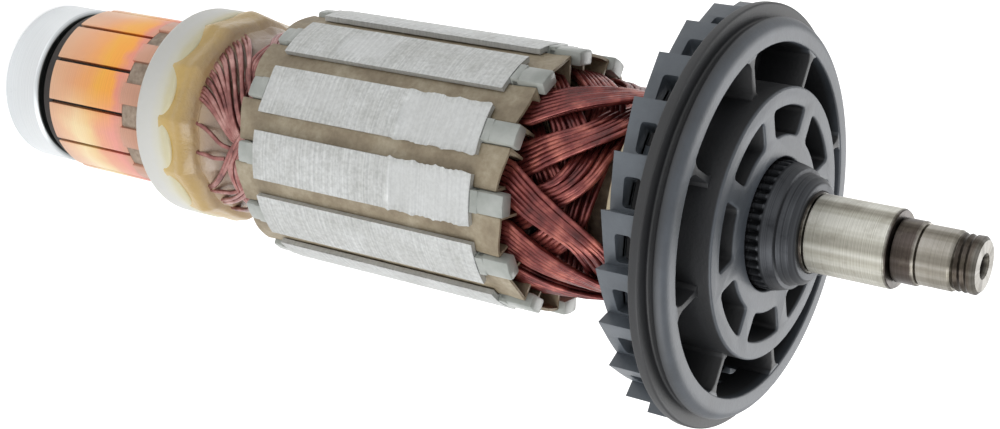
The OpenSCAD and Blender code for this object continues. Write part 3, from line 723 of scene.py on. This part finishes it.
def toothRule(i, low, outside):  # scatters the sheets of one tooth and mills its balance cuts
    cuts = [cut[1:] for cut in core["cuts"] if cut[0] == i]
    jitter = {}

    def rule(point):
        layer = round((point.z - low) / core["sheet"])
        if layer not in jitter:
            jitter[layer] = (dice.uniform(-core["scatter"], core["scatter"]), dice.uniform(0, 1))
        shift, burr = jitter[layer]
        radius = math.hypot(point.x, point.y)
        if radius < outside - 1.2 * mm:
            return point
        angle = math.atan2(point.y, point.x)
        radius += shift * mm
        for start, end, depth in cuts:
            place = point.z - low
            if start <= place <= end:
                wave = 0.1 * mm * math.sin(place / mm * 1.3 + i)
                flat = outside - depth
                if radius * math.cos(angle) > flat:
                    radius = flat / math.cos(angle)
                    angle *= 1.02 + 0.05 * burr ** 3 + wave / (3 * mm)
        return polar(radius, angle, point.z)

    return rule


# insulation

insulation = {
    "wall": 0.45 * mm,
    "bulge": 0.35 * mm,
    "side": 0.1 * mm,         # between a liner and the tooth beside it
    "bottom": 11.6 * mm,
    "mouthLength": 4 * mm,    # how far in from its ends a liner is creased
    "endWall": 1.5 * mm,
    "endHub": 11.4 * mm,
    "tabDepth": 2.6 * mm,
    "tabCrown": 0.2 * mm,
}


def linerOutline(shrink):
    top = reach("laminated_core") - core["tip"] - 0.1 * mm - shrink
    bottom = insulation["bottom"] + shrink
    gap = core["neck"] / 2 + insulation["side"] + shrink
    topHalf = pitch / 2 - math.asin(gap / top)
    bottomHalf = pitch / 2 - math.asin(gap / bottom)
    return arc(top, topHalf, -topHalf, 12) + arc(bottom, -bottomHalf, bottomHalf, 3)


def buildLiner(i):
    low, high = heights(f"slot_liner_{i + 1:02d}")
    stations = [low, low + 1 * mm, low + 4 * mm, mix(low, high, 0.33), mix(low, high, 0.66),
                high - 5 * mm, high - 3 * mm, high - 1.2 * mm, high]
    outer = prism("liner", rounded(linerOutline(0.0), 0.5 * mm), stations)
    bpy.ops.object.mode_set(mode="EDIT")
    bpy.ops.mesh.select_all(action="DESELECT")
    bpy.ops.object.mode_set(mode="OBJECT")
    for face in outer.data.polygons:
        face.select = abs(face.normal.z) > 0.9
    bpy.ops.object.mode_set(mode="EDIT")
    bpy.ops.mesh.delete(type="FACE")
    bpy.ops.object.mode_set(mode="OBJECT")
    wave = dice.uniform(0, math.tau)

    def crumple(point):
        radius = math.hypot(point.x, point.y)
        angle = math.atan2(point.y, point.x)
        end = max(ease((low + 3 * mm - point.z) / (3 * mm)),
                  ease((point.z - high + insulation["mouthLength"]) / insulation["mouthLength"]))
        sag = insulation["bulge"] * math.cos(angle / (pitch / 2) * math.pi / 2)
        if radius > 20 * mm:
            ripple = 0.12 * mm * math.sin(point.z / mm * 0.35 + wave)
            radius += sag * (0.6 * end - 0.5) + ripple * (1 - end)
        shift = 0.5 * mm * end * math.sin(angle * 9 + wave)
        return polar(radius, angle, point.z + shift * (1 if point.z > mix(low, high, 0.5) else -1))

    shapeBy(outer, crumple)
    wall = outer.modifiers.new("Wall", "SOLIDIFY")
    wall.thickness = insulation["wall"]
    wall.offset = -1.0
    applyModifiers(outer)
    outer.data.transform(Matrix.Rotation(pitch * (i + 0.5), 4, "Z"))
    outer.name = f"slotLiner{i + 1:02d}"
    finished(outer, "rotor", paper, [f"slot_liner_{i + 1:02d}"], smooth=50)


def buildEndInsulator(name, node, towardsDrive):
    low, high = heights(node)
    outside = reach(node)
    wall, hub, half = insulation["endWall"], insulation["endHub"], core["neck"] / 2
    base = (low, low + wall) if towardsDrive else (high - wall, high)
    pieces = [spun("insulatorHub", [(core["bore"], base[0]), (hub, base[0]), (hub, base[1]),
                                    (core["bore"], base[1])], corner=0.2 * mm)]
    arm = prism("arm", [(9 * mm, -half), (outside, -half), (outside, half), (9 * mm, half)],
                list(base), 0.2 * mm)
    inner, edge = outside - insulation["tabDepth"], outside - insulation["tabCrown"]
    tab = prism("tab", [(inner, -half), (edge, -half), (outside, 0), (edge, half), (inner, half)],
                [low, high], 0.4 * mm)
    for i in range(slotCount):
        pieces.append(copied(arm, "arm", pitch * i))
        pieces.append(copied(tab, "tab", pitch * i))
    bpy.data.objects.remove(arm)
    bpy.data.objects.remove(tab)
    finished(joined(name, pieces), "rotor", insulator, [node])


# winding

coreLow, coreHigh = heights("laminated_core")
winding = {
    "wire": 0.46 * mm,              # radius of one enamelled strand
    "strands": 7,
    "rows": 2,
    "outerLeg": 18.3 * mm,          # radius at which a coil's first leg lies in its slot
    "innerLeg": 14.9 * mm,
    "lastStart": math.radians(-105),  # where the coil wound last starts
    "driveExit": coreHigh + 3.6 * mm,
    "driveCrest": coreHigh + 20.2 * mm,  # crest of the last coil's end turn
    "driveStep": 2.1 * mm,          # each earlier pair of coils lies this much lower
    "driveRadius": 19.4 * mm,
    "driveDip": 14.6 * mm,
    "driveInward": 0.5 * mm,        # and this much nearer to the shaft at its crest
    "dipInward": 0.9 * mm,          # and half way round
    "leadExit": coreLow - 3.1 * mm,
    "leadCrest": coreLow - 9.5 * mm,  # the end turns beside the commutator lie close to the core
    "leadStep": 0.25 * mm,
    "leadRadius": 17.0 * mm,
    "leadDrop": 0.55 * mm,          # and each earlier pair nearer to the shaft
    "pinch": 0.5,                   # how far a bundle narrows half way round
    "spacing": 1.06 * mm,
    "rowDepth": 1.1 * mm,
    "sway": (0.1, 0.42),            # least and most that a strand wanders, in millimetres
    "lift": (0.1, 0.4),
    "sides": 8,                     # corners of a strand's section
}
lead = {
    "radius": 0.4 * mm,
    "surface": 16.9 * mm,
    "foot": 51.6 * mm,              # height at which a lead comes out of the resin
    # start angle, end angle and end height of each run, from the middle of its group, and its leads
    "runs": [
        (-7, 4, 58.6, 1), (12, 13, 56.8, 1), (-25, -2, 60.2, 2), (-30, -3, 60.6, 2), (-36, -4, 60.9, 2),
        (-42, -5, 61.2, 2), (-48, -6, 61.6, 2), (-55, -8, 61.0, 2), (-62, -12, 62.0, 2),
        (-69, -20, 62.4, 2), (-76, -30, 62.6, 2), (39, 2, 61.2, 2), (41, 36, 58.8, 1),
        (52, 30, 62.4, 2), (66, 44, 62.8, 2)],
    "spread": (2.6, 1.4),           # degrees between two leads of a run, at its start and end
    "groups": 2,
}


def endTurn(start, span, exit, crest, radius, dip, legs, steps=16):  # places between two slots
    turn = []
    for i in range(steps + 1):
        share = i / steps
        rise = ease(share / 0.24) * ease((1 - share) / 0.24)
        sag = math.sin(math.pi * share) ** 2
        outside = mix(mix(legs[0], legs[1], share), radius, rise)
        side = 1 if share < 0.5 else -1
        turn.append((start + span * share, mix(exit, crest, rise),
                     mix(outside, dip, 0.9 * rise * sag), rise, sag, side))
    return turn


def strandPlace(place, across, deep):  # turns a coil place and an offset into a point
    angle, z, radius, rise, sag, side = place
    width, down = across * mix(0.95, 1.0, rise), -1
    if z < winding["leadExit"]:
        width *= 0.9 - winding["pinch"] * sag
        deep *= 1 + 0.5 * sag
        down = 1
    return polar(radius - deep * mix(0.9, 0.45, rise),
                 angle + side * width / radius * (1 - rise),
                 z + down * (width + deep * 0.7) * rise)


def strand(curve, points, closed=True):
    spline = curve.splines.new("NURBS")
    spline.points.add(len(points) - 1)
    for target, point in zip(spline.points, points):
        target.co = (*point, 1.0)
    spline.order_u = 4
    spline.use_cyclic_u = closed
    spline.use_endpoint_u = not closed
    spline.resolution_u = 2


def tubes(name, radius):
    curve = bpy.data.curves.new(name, "CURVE")
    curve.dimensions = "3D"
    curve.bevel_depth = radius
    curve.bevel_resolution = winding["sides"] // 2 - 2
    curve.use_fill_caps = True
    return curve


def asMesh(name, curve):
    piece = bpy.data.objects.new(name, curve)
    bpy.context.collection.objects.link(piece)
    selectOnly(piece)
    bpy.ops.object.convert(target="MESH")
    return piece


def buildCoil(i):
    order = (i + 4) % slotCount       # coils 9 to 12, 1 and 2 are wound last to first, as are 3 to 8
    layer = order % 6
    start = winding["lastStart"] + pitch * (i - 8)
    span = 5 * pitch
    crest = winding["driveCrest"] - winding["driveStep"] * layer
    # the coil wound later lies on top in the slot that two coils share
    legs = (winding["innerLeg"] if layer == 5 else winding["outerLeg"],
            winding["outerLeg"] if layer == 0 else winding["innerLeg"] + 0.3 * mm * (5 - layer))
    drive = endTurn(start, span, winding["driveExit"], crest,
                    winding["driveRadius"] - winding["driveInward"] * layer,
                    winding["driveDip"] - winding["dipInward"] * layer, legs)
    nearRadius = winding["leadRadius"] - winding["leadDrop"] * layer
    near = endTurn(start, span, winding["leadExit"],
                   winding["leadCrest"] + winding["leadStep"] * layer,
                   nearRadius, nearRadius - 0.4 * mm, legs)
    middle = mix(winding["driveExit"], winding["leadExit"], 0.5)
    far = [(start + span, middle, legs[1], 0.0, 0.0, -1)]
    home = [(start, middle, legs[0], 0.0, 0.0, 1)]
    route = drive + far + list(reversed(near)) + home
    curve = tubes("coil", winding["wire"])
    for row in range(winding["rows"]):
        count = winding["strands"] - row
        for k in range(count):
            across = (k - (count - 1) / 2) * winding["spacing"]
            sway, lift = dice.uniform(*winding["sway"]) * mm, dice.uniform(*winding["lift"]) * mm
            first, second = dice.uniform(0, math.tau), dice.uniform(0, math.tau)
            points = []
            for place in route:
                loose = sway * math.sin(place[0] * 3.1 + first) * place[3]
                high = lift * math.sin(place[0] * 2.3 + second) * place[3]
                points.append(strandPlace(place, across + loose, row * winding["rowDepth"] + high))
            strand(curve, points)
    piece = asMesh(f"coil{i + 1:02d}", curve)
    finished(piece, "rotor", enamel, [f"coil_{i + 1:02d}"], smooth=60)


def buildLeads():  # the wire ends that leave the resin and gather into the end turns
    curve = tubes("leads", lead["radius"])
    surface, spread = lead["surface"], lead["spread"]
    for group in range(lead["groups"]):
        middle = -math.pi / 2 + math.tau / lead["groups"] * group
        for begin, finish, top, count in lead["runs"]:
            for side in range(count):
                first = middle + math.radians(begin + spread[0] * side)
                last = middle + math.radians(finish + spread[1] * side)
                bend = dice.uniform(-0.3, 0.3) * mm
                end = top * mm + side * 0.6 * mm
                foot = lead["foot"] + dice.uniform(-0.4, 0.4) * mm
                strand(curve, [
                    polar(surface - 0.8 * mm, first, foot - 2 * mm),
                    polar(surface + 0.1 * mm, first, foot + 0.6 * mm),
                    polar(surface + bend, mix(first, last, 0.3), mix(foot, end, 0.45)),
                    polar(surface + 0.25 * mm, mix(first, last, 0.7), mix(foot, end, 0.8)),
                    polar(surface + 0.3 * mm, last, end),
                    polar(surface - 0.5 * mm, last + (last - first) * 0.15, end + 1.5 * mm),
                ], closed=False)
    piece = asMesh("windingLeads", curve)
    finished(piece, "rotor", enamel, smooth=60)


def buildCollar(name, node, bore, corner, material):  # a plain ring on the shaft
    low, high = heights(node)
    outside = reach(node)
    ring = spun(name, [(bore, low), (outside, low), (outside, high), (bore, high)], corner=corner)
    finished(ring, "rotor", material, [node])


# fan

fanLow, fanHigh = heights("fan_wheel")
fan = {
    "vanes": 24,
    "tip": 32.65 * mm,
    "foot": 30.0 * mm,              # radius at the foot of each scoop
    "hollow": 0.25 * mm,            # how far a scoop bows in from a straight line
    "firstVane": math.radians(4.6),
    "portAngle": math.radians(9.6),
    "portWidth": 4.4 * mm,
    "portLength": 2.7 * mm,
    "portOffset": 0.8 * mm,
    "flange": 33.1 * mm,
    "flangeLow": fanLow + 5.5 * mm,
    "flangeHigh": fanLow + 7.1 * mm,
    "groove": 30.5 * mm,
    "front": 31.3 * mm,
    "frontLow": fanLow + 8.3 * mm,
    "frontHigh": fanLow + 10.2 * mm,
    # the front ring's rounded edge, in millimetres in from its side and down from its face
    "frontEdge": [(0.15, 1.35), (0.5, 0.65), (1.1, 0.2), (1.8, 0.0)],
    "recess": 27.5 * mm,
    "recessDepth": 8.2 * mm,
    "web": 1.4 * mm,
    "ribs": 8,
    "ribWidth": 1.0 * mm,
    "hub": 21.1 * mm,
    "pocketInner": 13.9 * mm,
    "pocketOuter": 18.3 * mm,
    "pocketRib": 3.4 * mm,
    "pocketCorner": 2.1 * mm,
    "firstPocket": math.radians(-4),
}


def buildFan():
    floor = fan["frontHigh"] - fan["recessDepth"]
    inner, wall = fan["recess"], fan["recess"] + 1 * mm
    front, face = fan["front"], fan["frontHigh"]
    edge = [(front - aside * mm, face - down * mm) for aside, down in fan["frontEdge"]]
    shroud = spun("shroud", [
        (inner, fanLow), (wall, fanLow), (wall, fan["flangeLow"]), (fan["flange"], fan["flangeLow"]),
        (fan["flange"], fan["flangeHigh"]), (fan["groove"], fan["flangeHigh"]),
        (fan["groove"], fan["frontLow"]), (edge[0][0], fan["frontLow"])] + edge
        + [(inner, face)], steps=192, corner=0.35 * mm)
    port = portCutter(0)
    step = math.tau / fan["vanes"]
    subtracted(shroud, [copied(port, "port", fan["firstVane"] + step * i + fan["portAngle"])
                        for i in range(fan["vanes"])])
    bpy.data.objects.remove(port)
    webLow, webEdge = floor - fan["web"], fan["recess"] + 0.4 * mm
    web = spun("web", [(10 * mm, webLow), (webEdge, webLow), (webEdge, floor), (10 * mm, floor)],
               corner=0.1 * mm)
    pieces = [shroud, web]
    vane = buildVane()
    rib = buildRib(floor)
    for i in range(fan["vanes"]):
        pieces.append(copied(vane, "vane", fan["firstVane"] + step * i))
    for i in range(fan["ribs"]):
        pieces.append(copied(rib, "rib", fan["firstPocket"] + math.tau / fan["ribs"] * (i + 0.5)))
    bpy.data.objects.remove(vane)
    bpy.data.objects.remove(rib)
    pieces.append(buildHub(floor))
    finished(joined("fanWheel", pieces), "rotor", nylon, ["fan_wheel"], smooth=40)


def portCutter(angle):
    half, top = fan["portWidth"] / 2, fan["flangeLow"] - fan["portOffset"]
    near, far = fan["recess"] - 0.6 * mm, fan["flange"] + 1 * mm
    outline = [(near, -half), (far, -half), (far, half), (near, half)]
    port = prism("port", outline, [top - fan["portLength"], top], 0.5 * mm)
    port.data.transform(Matrix.Rotation(angle, 4, "Z"))
    return port


def buildVane():  # one scoop: from its tip it falls to the foot of the next vane
    step = math.tau / fan["vanes"]
    under = math.radians(1.5)             # the foot runs on under the next scoop's lip
    outline = [polar(fan["tip"] - 0.05 * mm, 0)]
    for i in range(1, 10):
        share = i / 9
        bow = fan["hollow"] * math.sin(math.pi * share ** 0.7)
        outline.append(polar(mix(fan["tip"], fan["foot"], share) - bow, step * share))
    outline.append(polar(fan["foot"], step + under))
    outline += arc(fan["recess"] + 0.4 * mm, step + under, 0, 3)
    vane = prism("vane", outline, [fanLow, fan["flangeLow"] + 0.4 * mm])
    subtracted(vane, [portCutter(fan["portAngle"])])
    bevelEdges(vane, 0.2 * mm, 3, 28)
    return vane


def buildRib(floor):
    half, hub, wall = fan["ribWidth"] / 2, fan["hub"], fan["recess"]
    side = [(hub - 0.6 * mm, half + 0.6 * mm), (hub + 0.1 * mm, half + 0.5 * mm), (hub + 0.7 * mm, half),
            (wall - 1.6 * mm, half), (wall - 0.6 * mm, half + 0.4 * mm),
            (wall - 0.05 * mm, half + 1.2 * mm), (wall + 0.4 * mm, half + 1.5 * mm)]
    outline = [(x, -y) for x, y in side] + list(reversed(side))
    return prism("rib", outline, [floor - 0.2 * mm, fan["frontHigh"] - 0.15 * mm], 0.15 * mm)


def buildHub(floor):
    bottom = floor - fan["web"]
    hub = prism("hub", arc(fan["hub"], 0, math.tau, 160)[:-1], [bottom, fanHigh])
    half = math.pi / fan["ribs"]
    rib = fan["pocketRib"] / 2
    outer, inner = fan["pocketOuter"], fan["pocketInner"]
    outerHalf, innerHalf = half - math.asin(rib / outer), half - math.asin(rib / inner)
    corners = arc(outer, -outerHalf, outerHalf, 6) + arc(inner, innerHalf, -innerHalf, 4)
    pocket = prism("pocket", rounded(corners, fan["pocketCorner"]), [floor, fanHigh + 1 * mm])
    cutters = [copied(pocket, "pocket", fan["firstPocket"] + 2 * half * i) for i in range(fan["ribs"])]
    bpy.data.objects.remove(pocket)
    cutters.append(prism("bore", arc(bush["knurl"] + 0.35 * mm, 0, math.tau, 96)[:-1],
                         [bottom - 1 * mm, fanHigh + 1 * mm]))
    subtracted(hub, cutters)
    bevelEdges(hub, 0.35 * mm, 3, 40)
    return hub


bushLow, bushHigh = heights("fan_bush")
bush = {
    "knurlTeeth": 38,
    "knurl": 10.0 * mm,
    "knurlDepth": 0.65 * mm,
    "knurlEnd": bushLow + 16.9 * mm,
    "stepPlace": bushLow + 19.4 * mm,
    "step": 8.6 * mm,
    "front": 7.4 * mm,
    "bore": 6.3 * mm,
}


def buildBush():
    end, place = bush["knurlEnd"], bush["stepPlace"]
    knurl, step, front, bore = bush["knurl"], bush["step"], bush["front"], bush["bore"]
    wall = [(knurl - 0.05 * mm, mix(bushLow, end, i / 12)) for i in range(13)]
    fade = [(knurl - 0.1 * mm - 0.02 * mm * i, end + 0.15 * mm * i) for i in range(1, 5)]
    piece = spun("fanBush", [(bore, bushLow)] + wall + fade + [
        (step + 0.7 * mm, place - 0.15 * mm), (step, place), (step - 0.25 * mm, place + 1.2 * mm),
        (step - 0.4 * mm, bushHigh - 0.8 * mm), (front, bushHigh - 0.1 * mm),
        (front - 0.3 * mm, bushHigh), (bore, bushHigh)], steps=bush["knurlTeeth"] * 8, corner=0.12 * mm)

    def grooved(point):  # straight grooves that run out where the cone starts
        radius = math.hypot(point.x, point.y)
        if radius < knurl - 0.4 * mm:
            return point
        angle = math.atan2(point.y, point.x)
        groove = ease((math.cos(bush["knurlTeeth"] * angle) + 0.35) / 0.8)
        fall = bush["knurlDepth"] * groove * ease((end + 0.4 * mm - point.z) / (0.9 * mm))
        return polar(radius - fall, angle, point.z)

    shapeBy(piece, grooved)
    finished(piece, "rotor", bushSteel, ["fan_bush"])


# shaft

shaftSizes = {
    # radius of each length, with the height where it ends, in millimetres
    "steps": [(5.0, 10.2), (6.0, 42.0), (7.0, 140.0), (6.3, 163.3), (6.0, 176.3), (4.8, 180.0),
              (4.5, 185.3)],
    "tip": 4.3 * mm,
    "threadPitch": 1.0 * mm,
    "threadDepth": 0.28 * mm,
    "threadEnd": 187.9 * mm,
    "threadRings": 48,
    "centreHole": 1.65 * mm,
}


def buildShaft():
    low, high = heights("shaft")
    edge = 0.35 * mm
    outline = [(0.02 * mm, low), (4.5 * mm, low)]
    start = low
    for radius, end in shaftSizes["steps"]:
        if start > low:
            outline.append((radius * mm - edge, start))
        outline.append((radius * mm, start + edge))
        outline.append((radius * mm, end * mm - edge))
        outline.append((radius * mm - edge * 0.6, end * mm))
        start = end * mm
    tip, hole = shaftSizes["tip"], shaftSizes["centreHole"]
    rings = shaftSizes["threadRings"]
    for i in range(rings + 1):
        outline.append((tip, mix(start + 0.1 * mm, shaftSizes["threadEnd"], i / rings)))
    outline += [(tip, high - 0.5 * mm), (tip - 0.5 * mm, high), (hole + 0.3 * mm, high),
                (hole, high - 0.3 * mm), (hole * 0.75, high - 1.6 * mm), (0.02 * mm, high - 2.9 * mm)]
    piece = turned("shaft", [Vector((r, 0, z)) for r, z in outline])

    def thread(point):
        if not start + 0.05 * mm < point.z < shaftSizes["threadEnd"] + 0.05 * mm:
            return point
        radius = math.hypot(point.x, point.y)
        if radius < tip - 0.6 * mm:
            return point
        angle = math.atan2(point.y, point.x)
        phase = (point.z / shaftSizes["threadPitch"] - angle / math.tau) % 1.0
        fade = ease((shaftSizes["threadEnd"] - point.z) / (0.6 * mm))
        cut = shaftSizes["threadDepth"] * fade * (1 - abs(2 * phase - 1))
        return polar(radius - cut, angle, point.z)

    shapeBy(piece, thread)
    finished(piece, "rotor", shaftSteel, ["shaft"], smooth=30)


# build, camera, light and floor

buildBearing()
buildCommutator()
buildBinding()
print("bearing, commutator and bindings made")
buildCore()
for i in range(slotCount):
    buildLiner(i)
buildEndInsulator("endInsulatorCommutator", "end_insulator_commutator", False)
buildEndInsulator("endInsulatorDrive", "end_insulator_drive", True)
print("core and insulation made")
for i in range(slotCount):
    buildCoil(i)
buildLeads()
buildCollar("shaftSleeve", "shaft_sleeve", 7.05 * mm, 0.25 * mm, packing)
buildCollar("endWasher", "end_washer", 7.0 * mm, 0.4 * mm, washerFibre)
print("winding made")
buildFan()
buildBush()
buildShaft()
print("fan and shaft made")


mainView = {
    "place": (-0.0659, -0.2401, 0.2660),
    "right": (-0.0501, 0.5645, 0.8239),
    "up": (-0.9676, 0.1771, -0.1802),
    "forward": (0.2476, 0.8062, -0.5373),
    "lens": 63.8,
    "sensor": 36,
}
studio = {
    "ambient": 0.36,          # light that the white world casts on the part
    "glow": 0.6,              # light that the floor shows but doesn't cast
    # place, aim, width and power of each soft box
    "boxes": {
        "key": ((0.62, -0.62, 0.5), (0, 0, 0.11), 0.6, 4.4),
        "fill": ((-0.6, -0.7, 0.15), (0, 0, 0.11), 0.7, 1.3),
        "rear": ((0.225, 0.73, 0.64), (0, 0, 0.15), 0.7, 4.0),
    },
    "floorWidth": 6,
}


def placeCamera():
    data = bpy.data.cameras.new("mainView")
    data.lens = mainView["lens"]
    data.sensor_width = mainView["sensor"]
    data.clip_start = 0.01
    data.clip_end = 20
    camera = bpy.data.objects.new("mainView", data)
    bpy.context.collection.objects.link(camera)
    right, up, forward = (Vector(mainView[side]) for side in ("right", "up", "forward"))
    turn = Matrix((right, up, -forward)).transposed()
    camera.matrix_world = Matrix.Translation(Vector(mainView["place"])) @ turn.to_4x4()
    bpy.context.scene.camera = camera


def softBox(name, place, aim, width, power):
    data = bpy.data.lights.new(name, "AREA")
    data.size = width
    data.energy = power
    lamp = bpy.data.objects.new(name, data)
    bpy.context.collection.objects.link(lamp)
    lamp.location = place
    lamp.rotation_euler = (Vector(aim) - Vector(place)).to_track_quat("-Z", "Y").to_euler()


def seenDirectly(tree):  # 1 for the camera's own rays and for mirror and glass rays
    seen = addNode(tree, "LightPath", "Is Camera Ray", {})
    for kind in ("Is Glossy Ray", "Is Transmission Ray"):
        ray = addNode(tree, "LightPath", kind, {})
        seen = addNode(tree, "Math", 0, {"operation": "MAXIMUM", 0: seen, 1: ray})
    return seen


def lightAndFloor():
    world = bpy.data.worlds.new("white")
    world.use_nodes = True
    tree = world.node_tree
    strength = addNode(tree, "MapRange", "Result", {
        "Value": seenDirectly(tree), "To Min": studio["ambient"], "To Max": 1.0})
    setUp(tree, tree.nodes["Background"], {"Color": (1, 1, 1, 1), "Strength": strength})
    bpy.context.scene.world = world
    bpy.context.scene.view_settings.view_transform = "Standard"
    for name, box in studio["boxes"].items():
        softBox(name, *box)
    deselect()
    bpy.ops.mesh.primitive_plane_add(size=studio["floorWidth"])
    floor = bpy.context.object
    floor.name = "floor"
    material, tree, shader = newFinish("paperFloor", {    # matt white paper
        "Roughness": 0.9, "Base Color": (0.9, 0.9, 0.9, 1), "Emission Color": (1, 1, 1, 1)})[:3]
    glow = addNode(tree, "Math", 0, {"operation": "MULTIPLY", 0: seenDirectly(tree), 1: studio["glow"]})
    setUp(tree, shader, {"Emission Strength": glow})
    floor.data.materials.append(material)


placeCamera()
lightAndFloor()
